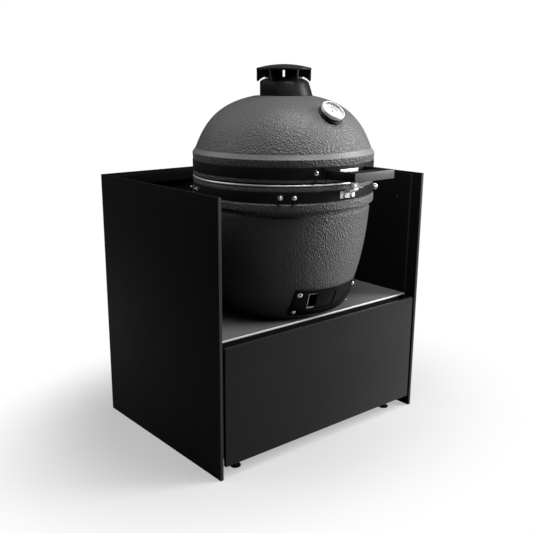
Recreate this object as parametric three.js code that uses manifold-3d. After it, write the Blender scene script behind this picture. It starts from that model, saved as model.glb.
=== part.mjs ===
// Kamado grill table: a ceramic kamado that stands on the shelf of an open outdoor kitchen
// cabinet, over one wide drawer. Millimetres, +Z up, the front faces -Y. Angles round the
// kamado are measured from its front towards +X.
import * as THREE from 'three';
import { mergeVertices } from 'three/addons/utils/BufferGeometryUtils.js';
import Module from 'manifold-3d';

const wasm = await Module();
wasm.setup();

// Clearances
const seam = 0.3;
const slideGap = 0.7;
const pivotGap = 0.4;
const overrun = 20;
const weldTolerance = 0.001;

// Cabinet
const cabinetWidth = 920;
const cabinetDepth = 697;
const cabinetHeight = 900;
const panelThickness = 12;
const wallThickness = 10;
const wallSetback = 41;
const wallTopDrop = 6.5;
const footHeight = 45;
const floorThickness = 12;
const railHeight = 36;
const railThickness = 18;
const shelfTop = 446.5;
const shelfThickness = 6;
const trimThickness = 1.8;
const shelfSupportThickness = 19;
const padRadius = 19;
const padHeight = 8;
const stemRadius = 5;
const stemNutRadius = 9;
const stemNutHeight = 6;
const footSideInset = 86;
const footEndInset = 52;
const screwHeadRadius = 5;
const screwHeadHeight = 2.5;
const screwEndInset = 100;
const screwTopDrop = 94;

// Drawer
const frontSideGap = 9;
const toeGap = 41.5;
const drawerFrontHeight = 396;
const drawerFrontThickness = 12;
const drawerBoxThickness = 12;
const drawerBoxBottom = 84;
const drawerBoxHeight = 250;
const drawerBoxDepth = 510;
const drawerBottomThickness = 8;
const drawerBottomLift = 8;
const runnerSpace = 13;
const runnerHeight = 46;
const runnerLength = 500;
const runnerSheet = 1.4;
const runnerBottom = 150;
const runnerFrontSetback = 48;

// Kamado: the outline of its base, from the foot up
const grillBackDistance = 452.5;
const footRadius = 204;
const footRecessRadius = 160;
const footRecessDepth = 8;
const bodyHeight = 371.5;
const bodyTopRadius = 300.5;
const bodyCurveShares = [[0.505, 0.152], [0.914, 0.526]];
const shellThickness = 27;
const shellFloorHeight = 40;
const shellFloorRadius = 178;
const baseBeadRadius = 311.5;
const baseBeadStep = 10;
const baseBeadFace = 19;
const baseBeadSlope = 8.5;
const bandSeatRadius = 306;
const bandSheet = 3.4;
const bandEndGap = 14;
const lowerBandLift = 1.5;
const lowerBandWidth = 32.5;
const rimRadius = 308.5;
const rimWidth = 29;
const baseRimHeight = 12.2;
const baseGasketHeight = 8.9;

// Kamado: the outline of its lid, from the joint up
const lidGasketHeight = 4.3;
const lidGasketRadius = 304;
const lidLipHeight = 11.1;
const upperBandLift = 2.6;
const upperBandWidth = 34.6;
const lidBeadRadius = 310;
const lidBeadFace = 24.5;
const lidBeadSlope = 14;
const domeFootRadius = 298.9;
const domeRise = 176.5;
const domeCurveShares = [[0.8956, 0.438], [0.7364, 1]];
const neckSeatDrop = 8;
const neckSeatRadius = 100;
const flueRadius = 60;

// Fire parts inside the base
const fireboxFootRadius = 165;
const fireboxMouthRadius = 244;
const fireboxHeight = 210;
const fireboxWall = 20;
const fireboxLedgeHeight = 48;
const fireboxLedgeRadius = 150;
const fireboxThroatRadius = 126;
const fireboxWaistShares = [0.5, 0.33];
const fireboxAirHoleRadius = 9;
const fireboxAirHoleHeight = 110;
const fireboxNotchWidth = 90;
const fireboxNotchHeight = 34;
const fireRingRadius = 254;
const fireRingWall = 20;
const fireRingHeight = 161;
const charcoalGrateRadius = 147;
const charcoalGrateThickness = 8;
const charcoalSlotWidth = 11;
const charcoalSlotPitch = 28;
const charcoalRim = 16;
const charcoalBar = 14;
const cookingGrateRadius = 262;
const cookingGrateThickness = 10;
const cookingSlotWidth = 12;
const cookingSlotPitch = 22;
const cookingRim = 14;
const cookingBar = 16;

// Draft frame, the plate behind it and the sliding door between them, low on the front
const frameHalfWidth = 136;
const frameBottom = 19.5;
const frameHeight = 94;
const frameSheet = 1.8;
const draftPlateSheet = 1.2;
const draftPlateInset = 2;
const doorSheet = 1.8;
const doorOverlap = 4;
const windowBottom = 42.5;
const windowHeight = 58;
const windowFromAngle = -21;
const windowToAngle = 3.5;
const doorFromAngle = -13.5;
const doorToAngle = 9.8;
const pocketFromAngle = -22;
const pocketToAngle = 25.3;
const draftHoleFromAngle = -20.2;
const draftHoleToAngle = 1.5;
const draftHoleLow = 4;
const draftHoleHigh = 2.5;
const shellHoleMargin = 3;
const frameBoltSpread = 122;
const frameBoltInset = 14;

// Bolts on the bands
const boltHeadRadius = 6.2;
const boltHeadHeight = 6.5;
const washerRadius = 8.2;
const washerHeight = 1.6;
const boltSink = 1.5;
const sideBoltAngles = [34.5, 42.6, 106, 115.5];
const handleBoltAngle = 22;

// Rear hinge
const hingePinOut = 26;
const hingeRise = 2;
const hingeSheet = 4;
const hingeEarThickness = 5;
const hingeEarRadius = 12;
const lowerEarOffset = 68;
const lowerEarFromAngle = 100;
const lowerEarToAngle = -60;
const lowerPlateHalfWidth = 78;
const lowerPlateLow = 4;
const lowerPlateHigh = 11;
const upperEarOffset = 52;
const upperEarFromAngle = 30;
const upperEarToAngle = -120;
const upperPlateHalfWidth = 60;
const upperPlateLow = 7;
const upperPlateHigh = 2;
const hingePinRadius = 5;
const hingePinHeadRadius = 8;
const hingePinHead = 4;
const hingeBoltSpread = 30;
const springWire = 3.6;
const springPitch = 5.4;
const springStub = 16;

// Handle
const handleArmOut = 72.3;
const handleLength = 176;
const handleBarDepth = 40;
const handleBarHeight = 28;
const handleDrop = 4.6;
const handleSheet = 6;
const handlePlateSheet = 4;
const handlePlateHalfWidth = 96;
const handlePlateLow = 2;
const handlePlateHigh = 1.5;
const handleTabLength = 26;

// Latch at the front
const latchSheet = 3;
const latchBaseHalfWidth = 32.5;
const latchBaseLow = 6.5;
const latchBaseHigh = 4.5;
const latchScrewOffset = 15;
const latchScrewRadius = 6;
const latchScrewHeight = 4.5;
const latchScrewRise = 13;
const latchEarOffset = 18.5;
const latchEarRadius = 7;
const latchEarFromAngle = 230;
const latchEarToAngle = 60;
const latchPivotOut = 19;
const latchPivotRise = 2.5;
const latchPinRadius = 3;
const latchPinEnd = 4;
const leverWidth = 30;
const leverSheet = 4;
const leverArm = 46;
const leverEyeFromAngle = 110;
const leverEyeToAngle = 430;
const leverNose = 12;
const leverTabWidth = 44;
const leverTabReach = 22;
const leverTabLow = 8;
const leverTabRise = 5;
const leverOpenAngle = 16;
const keeperHalfWidth = 40;
const keeperHeight = 23;
const keeperTongueHalfWidth = 13;
const keeperTongueEnd = 3;
const keeperTongueSheet = 3.2;
const leverNoseGap = 0.8;

// Chimney neck and its turning cap
const neckFootRadius = 97.5;
const neckShoulderRadius = 84.5;
const neckShoulderHeight = 41;
const neckHeight = 57;
const neckTopRadius = 54;
const neckShoulderShares = [[0.15, 0.41], [0.41, 0.72], [0.74, 0.94]];
const neckBore = 52;
const neckSpigot = 22;
const neckFlatHalfWidth = 72.5;
const neckBackReach = 66.5;
const neckBackCorner = 45;
const damperPlateThickness = 6;
const damperPlateDrop = 2.5;
const damperSpindleRadius = 5;
const damperNutRadius = 9;
const damperNutHeight = 6;
const damperWindowInner = 12;
const damperWindowOuter = 46;
const damperWindowAngle = 54;
const rotorRadius = 50;
const rotorThickness = 3.2;
const hubInnerRadius = 46;
const hubOuterRadius = 64;
const hubThickness = 3.7;
const capRadius = 92;
const capRimThickness = 6;
const capDomeHeight = 12.6;
const capHollow = 3;
const capUnderside = 83.2;
const finInnerRadius = 12;
const finOuterRadius = 91;
const finThickness = 7;
const finLowDrop = 11;
const finCorner = 5;
const capTurnAngle = -11.4;
const rotorTurnAngle = 30;

// Thermometer on the front of the dome
const dialDomeShare = 0.482;
const mountRadius = 36;
const mountHeight = 9;
const mountFillet = 2;
const caseRadius = 40;
const caseHeight = 13;
const caseLip = 4.5;
const caseLipDepth = 2;
const caseBack = 2.5;
const caseEdge = 2;
const dialInset = 1;
const dialThickness = 0.8;
const dialLift = 3.8;
const lensThickness = 1.5;
const needleLength = 27;
const needleTail = 8;
const needleWidth = 2.4;
const needleThickness = 0.8;
const needleHubRadius = 3;
const needleHubHeight = 1.6;
const needleShaftRadius = 1;
const needleRestAngle = 135;
const probeRadius = 4;
const probeLength = 118;
const probeHoleRadius = 5;
const probeNutRadius = 11;
const probeNutHeight = 7;
const probeNutGap = 4.5;

// Counts
const bodySegments = 44;
const draftSegments = 2 * bodySegments;
const smallSegments = 8;
const fireSegments = 28;
const capSegments = 28;
const bodySteps = 8;
const innerSteps = 5;
const domeSteps = 9;
const finCount = 6;
const nutSides = 6;
const damperWindowCount = 3;
const airHoleCount = 6;
const springTurns = 5;
const springStepsPerTurn = 8;
const springSides = 5;
const cutSteps = 5;
const sheetSteps = 4;
const halvingRounds = 40;

const quarterTurn = Math.PI / 2;
const halfTurn = Math.PI;
const fullTurn = 2 * Math.PI;
const { degToRad } = THREE.MathUtils;

// Shape helpers: every one gives a closed geometry

// The same surface with shared corners, no flat triangles and its faces turned outwards.
function closed(geometry) {
  const plain = geometry.clone();
  plain.deleteAttribute('normal');
  plain.deleteAttribute('uv');
  const merged = mergeVertices(plain, weldTolerance);
  const position = merged.attributes.position;
  const corners = [new THREE.Vector3(), new THREE.Vector3(), new THREE.Vector3()];
  const kept = [];
  let volume = 0;
  for (let first = 0; first < merged.index.count; first += 3) {
    const triangle = [0, 1, 2].map((step) => merged.index.getX(first + step));
    if (new Set(triangle).size < 3) continue;
    triangle.forEach((vertex, place) => corners[place].fromBufferAttribute(position, vertex));
    volume += corners[0].dot(corners[1].clone().cross(corners[2]));
    kept.push(triangle);
  }
  const outward = volume < 0 ? kept.map((triangle) => triangle.reverse()) : kept;
  merged.setIndex(outward.flat());
  return merged;
}

function toSolid(geometry) {
  const shape = closed(geometry);
  const vertProperties = new Float32Array(shape.attributes.position.array);
  const triVerts = new Uint32Array(shape.index.array);
  return new wasm.Manifold(new wasm.Mesh({ numProp: 3, vertProperties, triVerts }));
}

function fromSolid(solid) {
  const mesh = solid.getMesh();
  const geometry = new THREE.BufferGeometry();
  geometry.setAttribute('position', new THREE.BufferAttribute(mesh.vertProperties, 3));
  geometry.setIndex(new THREE.BufferAttribute(mesh.triVerts, 1));
  return geometry;
}

function cut(geometry, ...tools) {
  return fromSolid(tools.reduce((solid, tool) => solid.subtract(toSolid(tool)), toSolid(geometry)));
}

function join(first, ...others) {
  return fromSolid(others.reduce((solid, other) => solid.add(toSolid(other)), toSolid(first)));
}

function overlap(first, second) {
  return fromSolid(toSolid(first).intersect(toSolid(second)));
}

function block([x0, x1], [y0, y1], [z0, z1]) {
  const box = new THREE.BoxGeometry(x1 - x0, y1 - y0, z1 - z0);
  return closed(box.translate((x0 + x1) / 2, (y0 + y1) / 2, (z0 + z1) / 2));
}

// A body of revolution about Z from [radius, height] pairs that end on the axis.
function turned(outline, segments = bodySegments) {
  const points = outline.map(([radius, height]) => new THREE.Vector2(radius, height));
  return closed(new THREE.LatheGeometry(points, segments).rotateX(quarterTurn));
}

// A ring about Z from [radius, height] pairs that go once round its section.
function ring(section, segments = bodySegments) {
  return turned([...section, section[0]], segments);
}

function band(innerRadius, outerRadius, z0, z1, segments = bodySegments) {
  return ring([[innerRadius, z0], [outerRadius, z0], [outerRadius, z1], [innerRadius, z1]], segments);
}

function disc(radius, z0, z1, segments = smallSegments) {
  return turned([[0, z0], [radius, z0], [radius, z1], [0, z1]], segments);
}

// An outline in X and Y, raised from z0 to z1.
function raised(outline, z0, z1) {
  const shape = new THREE.Shape(outline.map(([x, y]) => new THREE.Vector2(x, y)));
  const options = { depth: z1 - z0, bevelEnabled: false };
  return closed(new THREE.ExtrudeGeometry(shape, options).translate(0, 0, z0));
}

// An outline in Y and Z, drawn out along X from x0 to x1.
function drawnOut(outline, x0, x1) {
  return closed(raised(outline, x0, x1).rotateX(quarterTurn).rotateZ(quarterTurn));
}

// A rod along X.
function crossRod(radius, x0, x1, y, z, segments = smallSegments) {
  return closed(disc(radius, x0, x1, segments).rotateY(quarterTurn).translate(0, y, z));
}

// A wedge about Z between two angles in degrees.
function wedge(fromAngle, toAngle, radius, z0, z1) {
  const outline = [[0, 0]];
  for (let step = 0; step <= cutSteps; step += 1) {
    const angle = degToRad(fromAngle + ((toAngle - fromAngle) * step) / cutSteps);
    outline.push([radius * Math.sin(angle), -radius * Math.cos(angle)]);
  }
  return raised(outline, z0, z1);
}

function arcPoints(centreX, centreY, radius, fromAngle, toAngle, steps = cutSteps) {
  const points = [];
  for (let step = 0; step <= steps; step += 1) {
    const angle = degToRad(fromAngle + ((toAngle - fromAngle) * step) / steps);
    points.push([centreX + radius * Math.cos(angle), centreY + radius * Math.sin(angle)]);
  }
  return points;
}

// The smooth curve of a ceramic wall between two [radius, height] points. The shares place
// its two control points between them.
function wallCurve([r0, z0], [r1, z1], shares) {
  const between = ([radiusShare, heightShare]) => new THREE.Vector2(
    r0 + (r1 - r0) * radiusShare,
    z0 + (z1 - z0) * heightShare,
  );
  return new THREE.CubicBezierCurve(
    new THREE.Vector2(r0, z0),
    between(shares[0]),
    between(shares[1]),
    new THREE.Vector2(r1, z1),
  );
}

function curvePairs(curve, steps) {
  return curve.getPoints(steps).map((point) => [point.x, point.y]);
}

function radiusAtHeight(curve, height) {
  let low = 0;
  let high = 1;
  for (let round = 0; round < halvingRounds; round += 1) {
    const middle = (low + high) / 2;
    if (curve.getPoint(middle).y < height) low = middle;
    else high = middle;
  }
  return curve.getPoint(low).x;
}

// A bolt head on its washer along +Z, let into the surface at z = 0 so that it joins what it
// holds.
function boltHead() {
  return turned([
    [0, -boltSink],
    [washerRadius, -boltSink],
    [washerRadius, washerHeight],
    [boltHeadRadius, washerHeight],
    [boltHeadRadius, (washerHeight + boltHeadHeight) / 2],
    [0, boltHeadHeight],
  ], smallSegments);
}

// Turns a piece that stands along +Z so that it points outwards at an angle round the kamado.
function outwards(geometry, angle, radius, height) {
  const placed = geometry.clone().rotateX(quarterTurn).translate(0, -radius, height);
  return placed.rotateZ(degToRad(angle));
}

// Finishes and naming

const finishes = {
  blackPanel: { color: 0x131313, roughness: 0.5, metalness: 0 },
  drawerFront: { color: 0x1b1b1b, roughness: 0.45, metalness: 0 },
  greyShelf: { color: 0x4a4a4a, roughness: 0.6, metalness: 0 },
  brightTrim: { color: 0xe6e6e6, roughness: 0.3, metalness: 0.9 },
  boxBoard: { color: 0x3a3a3c, roughness: 0.6, metalness: 0 },
  runnerSteel: { color: 0x9a9ca0, roughness: 0.4, metalness: 1 },
  stainless: { color: 0xc8cacc, roughness: 0.25, metalness: 1 },
  ceramic: { color: 0x3c3d3c, roughness: 0.55, metalness: 0 },
  fireClay: { color: 0xb7a58c, roughness: 0.9, metalness: 0 },
  castIron: { color: 0x1c1c1c, roughness: 0.6, metalness: 0.6 },
  blackSteel: { color: 0x161616, roughness: 0.45, metalness: 0.5 },
  paleFelt: { color: 0xd8d8d4, roughness: 0.9, metalness: 0 },
  blackFelt: { color: 0x0c0c0c, roughness: 0.95, metalness: 0 },
  greyHandle: { color: 0x2e2e2f, roughness: 0.4, metalness: 0.2 },
  blackPlastic: { color: 0x0e0e0e, roughness: 0.5, metalness: 0 },
  whiteDial: { color: 0xf2f2f0, roughness: 0.5, metalness: 0 },
  redNeedle: { color: 0xa01c18, roughness: 0.4, metalness: 0 },
  clearGlass: { color: 0xf4f8f8, roughness: 0.05, metalness: 0 },
  springSteel: { color: 0x6c6e70, roughness: 0.35, metalness: 1 },
};

function add(parent, name, geometry, finish) {
  const mesh = new THREE.Mesh(geometry, new THREE.MeshStandardMaterial(finishes[finish]));
  mesh.name = name;
  parent.add(mesh);
  return mesh;
}

const sides = [['left', -1], ['right', 1]];
const spanFrom = (side, inner, outer) => (side < 0 ? [-outer, -inner] : [inner, outer]);

const table = new THREE.Group();

// Cabinet: places that several of its pieces share
const halfWidth = cabinetWidth / 2;
const frontY = -cabinetDepth / 2;
const backY = cabinetDepth / 2;
const panelInner = halfWidth - panelThickness;
const wallOuter = panelInner - seam;
const wallInner = panelInner - wallThickness;
const bayHalfWidth = wallInner - seam;
const wallFrontY = frontY + wallSetback;
const bayBackY = backY - panelThickness - seam;
const wallTop = cabinetHeight - wallTopDrop;
const screwY = frontY + screwEndInset;
const screwZ = cabinetHeight - screwTopDrop;

function buildCabinet() {
  for (const [sideName, side] of sides) {
    const panel = block(spanFrom(side, panelInner, halfWidth), [frontY, backY], [0, cabinetHeight]);
    add(table, `${sideName}_side_panel`, panel, 'blackPanel');
    const wall = block(
      spanFrom(side, wallInner, wallOuter),
      [wallFrontY, bayBackY],
      [footHeight, wallTop],
    );
    const screws = [screwY, -screwY].map((y) => {
      const head = turned([
        [0, screwHeadHeight],
        [screwHeadRadius / 2, screwHeadHeight],
        [screwHeadRadius, 0],
        [screwHeadRadius, -screwHeadHeight],
        [0, -screwHeadHeight],
      ], smallSegments);
      return head.rotateY(-side * quarterTurn).translate(side * wallInner, y, screwZ);
    });
    add(table, `${sideName}_inner_wall`, join(wall, ...screws), 'blackPanel');
  }

  const backPanel = block(
    [-panelInner + seam, panelInner - seam],
    [backY - panelThickness, backY],
    [footHeight, cabinetHeight],
  );
  add(table, 'back_panel', backPanel, 'blackPanel');
  const rail = block(
    [-bayHalfWidth, bayHalfWidth],
    [bayBackY - railThickness, bayBackY],
    [wallTop - railHeight, wallTop],
  );
  add(table, 'back_top_rail', rail, 'blackPanel');
  const floor = block(
    [-bayHalfWidth, bayHalfWidth],
    [wallFrontY, bayBackY],
    [footHeight, footHeight + floorThickness],
  );
  add(table, 'floor_panel', floor, 'blackPanel');
}

function buildShelf() {
  const slabFront = wallFrontY + trimThickness + seam;
  const slabBottom = shelfTop - shelfThickness;
  const width = [-bayHalfWidth, bayHalfWidth];
  const shelf = block(width, [slabFront, bayBackY], [slabBottom, shelfTop]);
  add(table, 'shelf', shelf, 'greyShelf');
  const trim = block(width, [wallFrontY, wallFrontY + trimThickness], [slabBottom, shelfTop]);
  add(table, 'shelf_edge_trim', trim, 'brightTrim');
  const supportTop = slabBottom - seam;
  const support = block(
    width,
    [slabFront, bayBackY],
    [supportTop - shelfSupportThickness, supportTop],
  );
  add(table, 'shelf_support', support, 'blackPanel');
}

function buildLevellingFeet() {
  const footX = halfWidth - footSideInset - panelThickness;
  const footY = backY - footEndInset;
  for (const [sideName, side] of sides) {
    for (const [endName, end] of [['front', -1], ['rear', 1]]) {
      const foot = turned([
        [0, 0],
        [padRadius, 0],
        [padRadius, padHeight / 2],
        [stemRadius, padHeight],
        [stemRadius, footHeight - stemNutHeight],
        [stemNutRadius, footHeight - stemNutHeight],
        [stemNutRadius, footHeight - seam],
        [0, footHeight - seam],
      ], smallSegments);
      foot.translate(side * footX, end * footY, 0);
      add(table, `${sideName}_${endName}_foot`, foot, 'blackPlastic');
    }
  }
}

// Drawer
const drawerFrontInnerY = frontY + drawerFrontThickness;
const drawerBoxFrontY = drawerFrontInnerY + seam;
const drawerBoxBackY = drawerBoxFrontY + drawerBoxDepth;
const drawerBoxOuter = wallInner - runnerSpace;
const drawerBoxInner = drawerBoxOuter - drawerBoxThickness;
const runnerFrontY = frontY + runnerFrontSetback;

function buildDrawer() {
  const frontHalfWidth = panelInner - frontSideGap;
  const front = block(
    [-frontHalfWidth, frontHalfWidth],
    [frontY, drawerFrontInnerY],
    [toeGap, toeGap + drawerFrontHeight],
  );
  add(table, 'drawer_front', front, 'drawerFront');
  const boxTop = drawerBoxBottom + drawerBoxHeight;
  for (const [sideName, side] of sides) {
    const board = block(
      spanFrom(side, drawerBoxInner, drawerBoxOuter),
      [drawerBoxFrontY, drawerBoxBackY],
      [drawerBoxBottom, boxTop],
    );
    add(table, `${sideName}_drawer_side`, board, 'boxBoard');
  }
  const inside = [-drawerBoxInner + seam, drawerBoxInner - seam];
  const bottomZ = drawerBoxBottom + drawerBottomLift;
  const backInnerY = drawerBoxBackY - drawerBoxThickness;
  const back = block(inside, [backInnerY, drawerBoxBackY], [drawerBoxBottom, boxTop]);
  add(table, 'drawer_back', back, 'boxBoard');
  const bottom = block(
    inside,
    [drawerBoxFrontY, backInnerY - seam],
    [bottomZ, bottomZ + drawerBottomThickness],
  );
  add(table, 'drawer_bottom', bottom, 'boxBoard');
}

// A channel of folded sheet, open towards the drawer or the wall, along Y.
function channel(side, webAt, lipAt, height) {
  const low = runnerBottom + (runnerHeight - height) / 2;
  const high = low + height;
  const webInner = webAt + runnerSheet * Math.sign(lipAt - webAt);
  const outline = [
    [webAt, low],
    [lipAt, low],
    [lipAt, low + runnerSheet],
    [webInner, low + runnerSheet],
    [webInner, high - runnerSheet],
    [lipAt, high - runnerSheet],
    [lipAt, high],
    [webAt, high],
  ].map(([x, z]) => [side * x, z]);
  const shape = raised(outline, -runnerFrontY - runnerLength, -runnerFrontY);
  return closed(shape.rotateX(quarterTurn));
}

function buildRunners() {
  const inset = runnerSheet + slideGap;
  const wallFace = wallInner - seam;
  const drawerFace = drawerBoxOuter + seam;
  const middleHeight = runnerHeight - 2 * inset;
  for (const [sideName, side] of sides) {
    const fixed = channel(side, wallFace, drawerFace + inset, runnerHeight);
    add(table, `${sideName}_fixed_runner`, fixed, 'runnerSteel');
    const middle = channel(side, wallFace - inset, drawerFace + inset, middleHeight);
    add(table, `${sideName}_middle_runner`, middle, 'runnerSteel');
    const inner = channel(side, drawerFace, wallFace - 2 * inset, middleHeight - 2 * inset);
    add(table, `${sideName}_drawer_runner`, inner, 'runnerSteel');
  }
}

// Kamado: heights above the shelf, worked out upwards from the foot
const recessBottom = bodyHeight + baseBeadStep + baseBeadFace + baseBeadSlope;
const lowerBandBottom = recessBottom + lowerBandLift;
const lowerBandTop = lowerBandBottom + lowerBandWidth;
const recessTop = lowerBandTop + seam;
const baseRimTop = recessTop + baseRimHeight;
const baseGasketTop = baseRimTop + seam + baseGasketHeight;
const lidGasketTop = baseGasketTop + seam + lidGasketHeight;
const lidBottom = lidGasketTop + seam;
const lidLipTop = lidBottom + lidLipHeight;
const upperBandBottom = lidLipTop + upperBandLift;
const upperBandTop = upperBandBottom + upperBandWidth;
const lidBeadTop = upperBandTop + seam + lidBeadFace;
const domeFoot = lidBeadTop + lidBeadSlope;
const domeTop = domeFoot + domeRise;
const neckSeat = domeTop - neckSeatDrop;
const bandInner = bandSeatRadius + seam;
const bandOuter = bandInner + bandSheet;
const rimInner = rimRadius - rimWidth;
const bodyCurve = wallCurve([footRadius, 0], [bodyTopRadius, bodyHeight], bodyCurveShares);
const innerTopRadius = bodyTopRadius - shellThickness;
const innerCurve = wallCurve(
  [shellFloorRadius, shellFloorHeight],
  [innerTopRadius, bodyHeight],
  bodyCurveShares,
);
const domeCurve = new THREE.CubicBezierCurve(
  new THREE.Vector2(domeFootRadius, domeFoot),
  ...domeCurveShares.map(([radiusShare, heightShare]) => new THREE.Vector2(
    domeFootRadius * radiusShare,
    domeFoot + domeRise * heightShare,
  )),
  new THREE.Vector2(0, domeTop),
);

const handleReach = bandOuter + handleArmOut + handleBarDepth;
const grillAxisY = backY - grillBackDistance;

const grill = new THREE.Group();
grill.position.set(0, grillAxisY, shelfTop + seam);
table.add(grill);

const draftTool = (fromAngle, toAngle, low, high) => wedge(
  fromAngle,
  toAngle,
  footRadius + bodyTopRadius,
  windowBottom + low,
  windowBottom + windowHeight - high,
);

function buildBaseShell() {
  const shell = turned([
    [0, footRecessDepth],
    [footRecessRadius, footRecessDepth],
    [footRecessRadius, 0],
    ...curvePairs(bodyCurve, bodySteps),
    [baseBeadRadius, bodyHeight + baseBeadStep],
    [baseBeadRadius, bodyHeight + baseBeadStep + baseBeadFace],
    [rimRadius, recessBottom],
    [bandSeatRadius, recessBottom],
    [bandSeatRadius, recessTop],
    [rimRadius, recessTop],
    [rimRadius, baseRimTop],
    [rimInner, baseRimTop],
    ...curvePairs(innerCurve, innerSteps).reverse(),
    [0, shellFloorHeight],
  ]);
  const ventCore = block(
    [-shellFloorRadius, shellFloorRadius],
    [-shellFloorRadius / 2, shellFloorRadius],
    [0, bodyHeight],
  );
  const ventTool = draftTool(
    draftHoleFromAngle - shellHoleMargin,
    draftHoleToAngle + shellHoleMargin,
    -shellHoleMargin,
    -shellHoleMargin,
  );
  add(grill, 'base_shell', cut(shell, cut(ventTool, ventCore)), 'ceramic');
  const gasket = band(rimInner, rimRadius, baseRimTop + seam, baseGasketTop);
  add(grill, 'base_gasket', gasket, 'paleFelt');
}

// A cast grate: a round plate with a rim, one bar across its middle and slots either side of it.
function slottedGrate(radius, [z0, z1], rim, bar, slotWidth, slotPitch) {
  const slotReach = radius - rim;
  const slots = [];
  const count = Math.floor((slotReach - slotWidth / 2) / slotPitch);
  for (let slot = -count; slot <= count; slot += 1) {
    const middle = slot * slotPitch;
    const half = Math.sqrt(slotReach ** 2 - (Math.abs(middle) + slotWidth / 2) ** 2);
    if (half < bar) continue;
    for (const [, side] of sides) {
      const [y0, y1] = spanFrom(side, bar / 2, half);
      const x = [middle - slotWidth / 2, middle + slotWidth / 2];
      slots.push(block(x, [y0, y1], [z0 - overrun, z1 + overrun]));
    }
  }
  return cut(disc(radius, z0, z1, fireSegments), ...slots);
}

function buildFireParts() {
  const floorZ = shellFloorHeight + seam;
  const mouthZ = floorZ + fireboxHeight;
  const ledgeZ = floorZ + fireboxLedgeHeight;
  const waistRadius = fireboxFootRadius
    + (fireboxMouthRadius - fireboxFootRadius) * fireboxWaistShares[0];
  const waistZ = floorZ + fireboxHeight * fireboxWaistShares[1];
  const firebox = ring([
    [fireboxThroatRadius, floorZ],
    [fireboxFootRadius, floorZ],
    [waistRadius, waistZ],
    [fireboxMouthRadius, mouthZ],
    [fireboxMouthRadius - fireboxWall, mouthZ],
    [waistRadius - fireboxWall, waistZ],
    [fireboxLedgeRadius, ledgeZ + charcoalGrateThickness],
    [fireboxLedgeRadius, ledgeZ],
    [fireboxThroatRadius, ledgeZ],
  ], fireSegments);
  const notch = block(
    [-fireboxNotchWidth / 2, fireboxNotchWidth / 2],
    [-fireboxMouthRadius, 0],
    [floorZ - overrun, floorZ + fireboxNotchHeight],
  );
  const airHoles = [];
  for (let hole = 0; hole < airHoleCount; hole += 1) {
    const tool = disc(fireboxAirHoleRadius, fireboxThroatRadius, fireboxMouthRadius + overrun);
    airHoles.push(outwards(
      tool,
      (360 / airHoleCount) * (hole + 1 / 2),
      0,
      floorZ + fireboxAirHoleHeight,
    ));
  }
  add(grill, 'firebox', cut(firebox, notch, ...airHoles), 'fireClay');

  const grateBottom = ledgeZ + seam;
  const charcoalGrate = slottedGrate(
    charcoalGrateRadius,
    [grateBottom, grateBottom + charcoalGrateThickness],
    charcoalRim,
    charcoalBar,
    charcoalSlotWidth,
    charcoalSlotPitch,
  );
  add(grill, 'charcoal_grate', charcoalGrate, 'castIron');

  const ringBottom = mouthZ + seam;
  const ringTop = ringBottom + fireRingHeight;
  const fireRing = band(
    fireRingRadius - fireRingWall,
    fireRingRadius,
    ringBottom,
    ringTop,
    fireSegments,
  );
  add(grill, 'fire_ring', fireRing, 'fireClay');
  const cookingGrate = slottedGrate(
    cookingGrateRadius,
    [ringTop + seam, ringTop + seam + cookingGrateThickness],
    cookingRim,
    cookingBar,
    cookingSlotWidth,
    cookingSlotPitch,
  );
  add(grill, 'cooking_grate', cookingGrate, 'castIron');
}

// A clamping band with its ends apart at the back, under the hinge plate.
function splitBand(z0, z1) {
  const whole = band(bandInner, bandOuter, z0, z1);
  const gap = block(
    [-bandEndGap / 2, bandEndGap / 2],
    [0, bandOuter + overrun],
    [z0 - overrun, z1 + overrun],
  );
  return cut(whole, gap);
}

// Part of a ring that follows the band, kept between two planes at x = -halfWidth and +halfWidth.
function bandPlate(innerRadius, sheet, halfSpan, z0, z1, facing) {
  const whole = band(innerRadius, innerRadius + sheet, z0, z1);
  const reach = innerRadius + sheet + overrun;
  const keep = block(
    [-halfSpan, halfSpan],
    facing < 0 ? [-reach, 0] : [0, reach],
    [z0 - overrun, z1 + overrun],
  );
  return overlap(whole, keep);
}

const bandMiddle = (bottom, top) => (bottom + top) / 2;
const lowerBoltZ = bandMiddle(lowerBandBottom, lowerBandTop);
const upperBoltZ = bandMiddle(upperBandBottom, upperBandTop);
const hingeBoltAngle = THREE.MathUtils.radToDeg(Math.asin(hingeBoltSpread / bandOuter));
const hingePlateInner = bandOuter + seam;
const hingePlateOuter = hingePlateInner + hingeSheet;
const hingeReach = hingePlateOuter + hingePinOut;

function buildLowerBand() {
  const bolts = sideBoltAngles.flatMap((angle) => [-angle, angle]).map(
    (angle) => outwards(boltHead(), angle, bandOuter, lowerBoltZ),
  );
  const band = join(splitBand(lowerBandBottom, lowerBandTop), ...bolts);
  add(grill, 'lower_band', band, 'blackSteel');
}

// Rear hinge
const hingeZ = baseRimTop + hingeRise;
const lowerPlateZ = [lowerBandBottom - lowerPlateLow, lowerBandTop + lowerPlateHigh];
const upperPlateZ = [lidBottom - upperPlateLow, upperBandTop + upperPlateHigh];

// An ear from a hinge plate to the pin, as an outline in Y and Z with a round end.
function hingeEar(side, offset, plateZ, fromAngle, toAngle) {
  const root = Math.sqrt(hingePlateOuter ** 2 - (offset + hingeEarThickness) ** 2) - hingeSheet / 2;
  const outline = [
    ...plateZ.map((z) => [root, z]),
    ...arcPoints(hingeReach, hingeZ, hingeEarRadius, fromAngle, toAngle),
  ];
  const [x0, x1] = spanFrom(side, offset, offset + hingeEarThickness);
  return drawnOut(outline, x0, x1);
}

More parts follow.
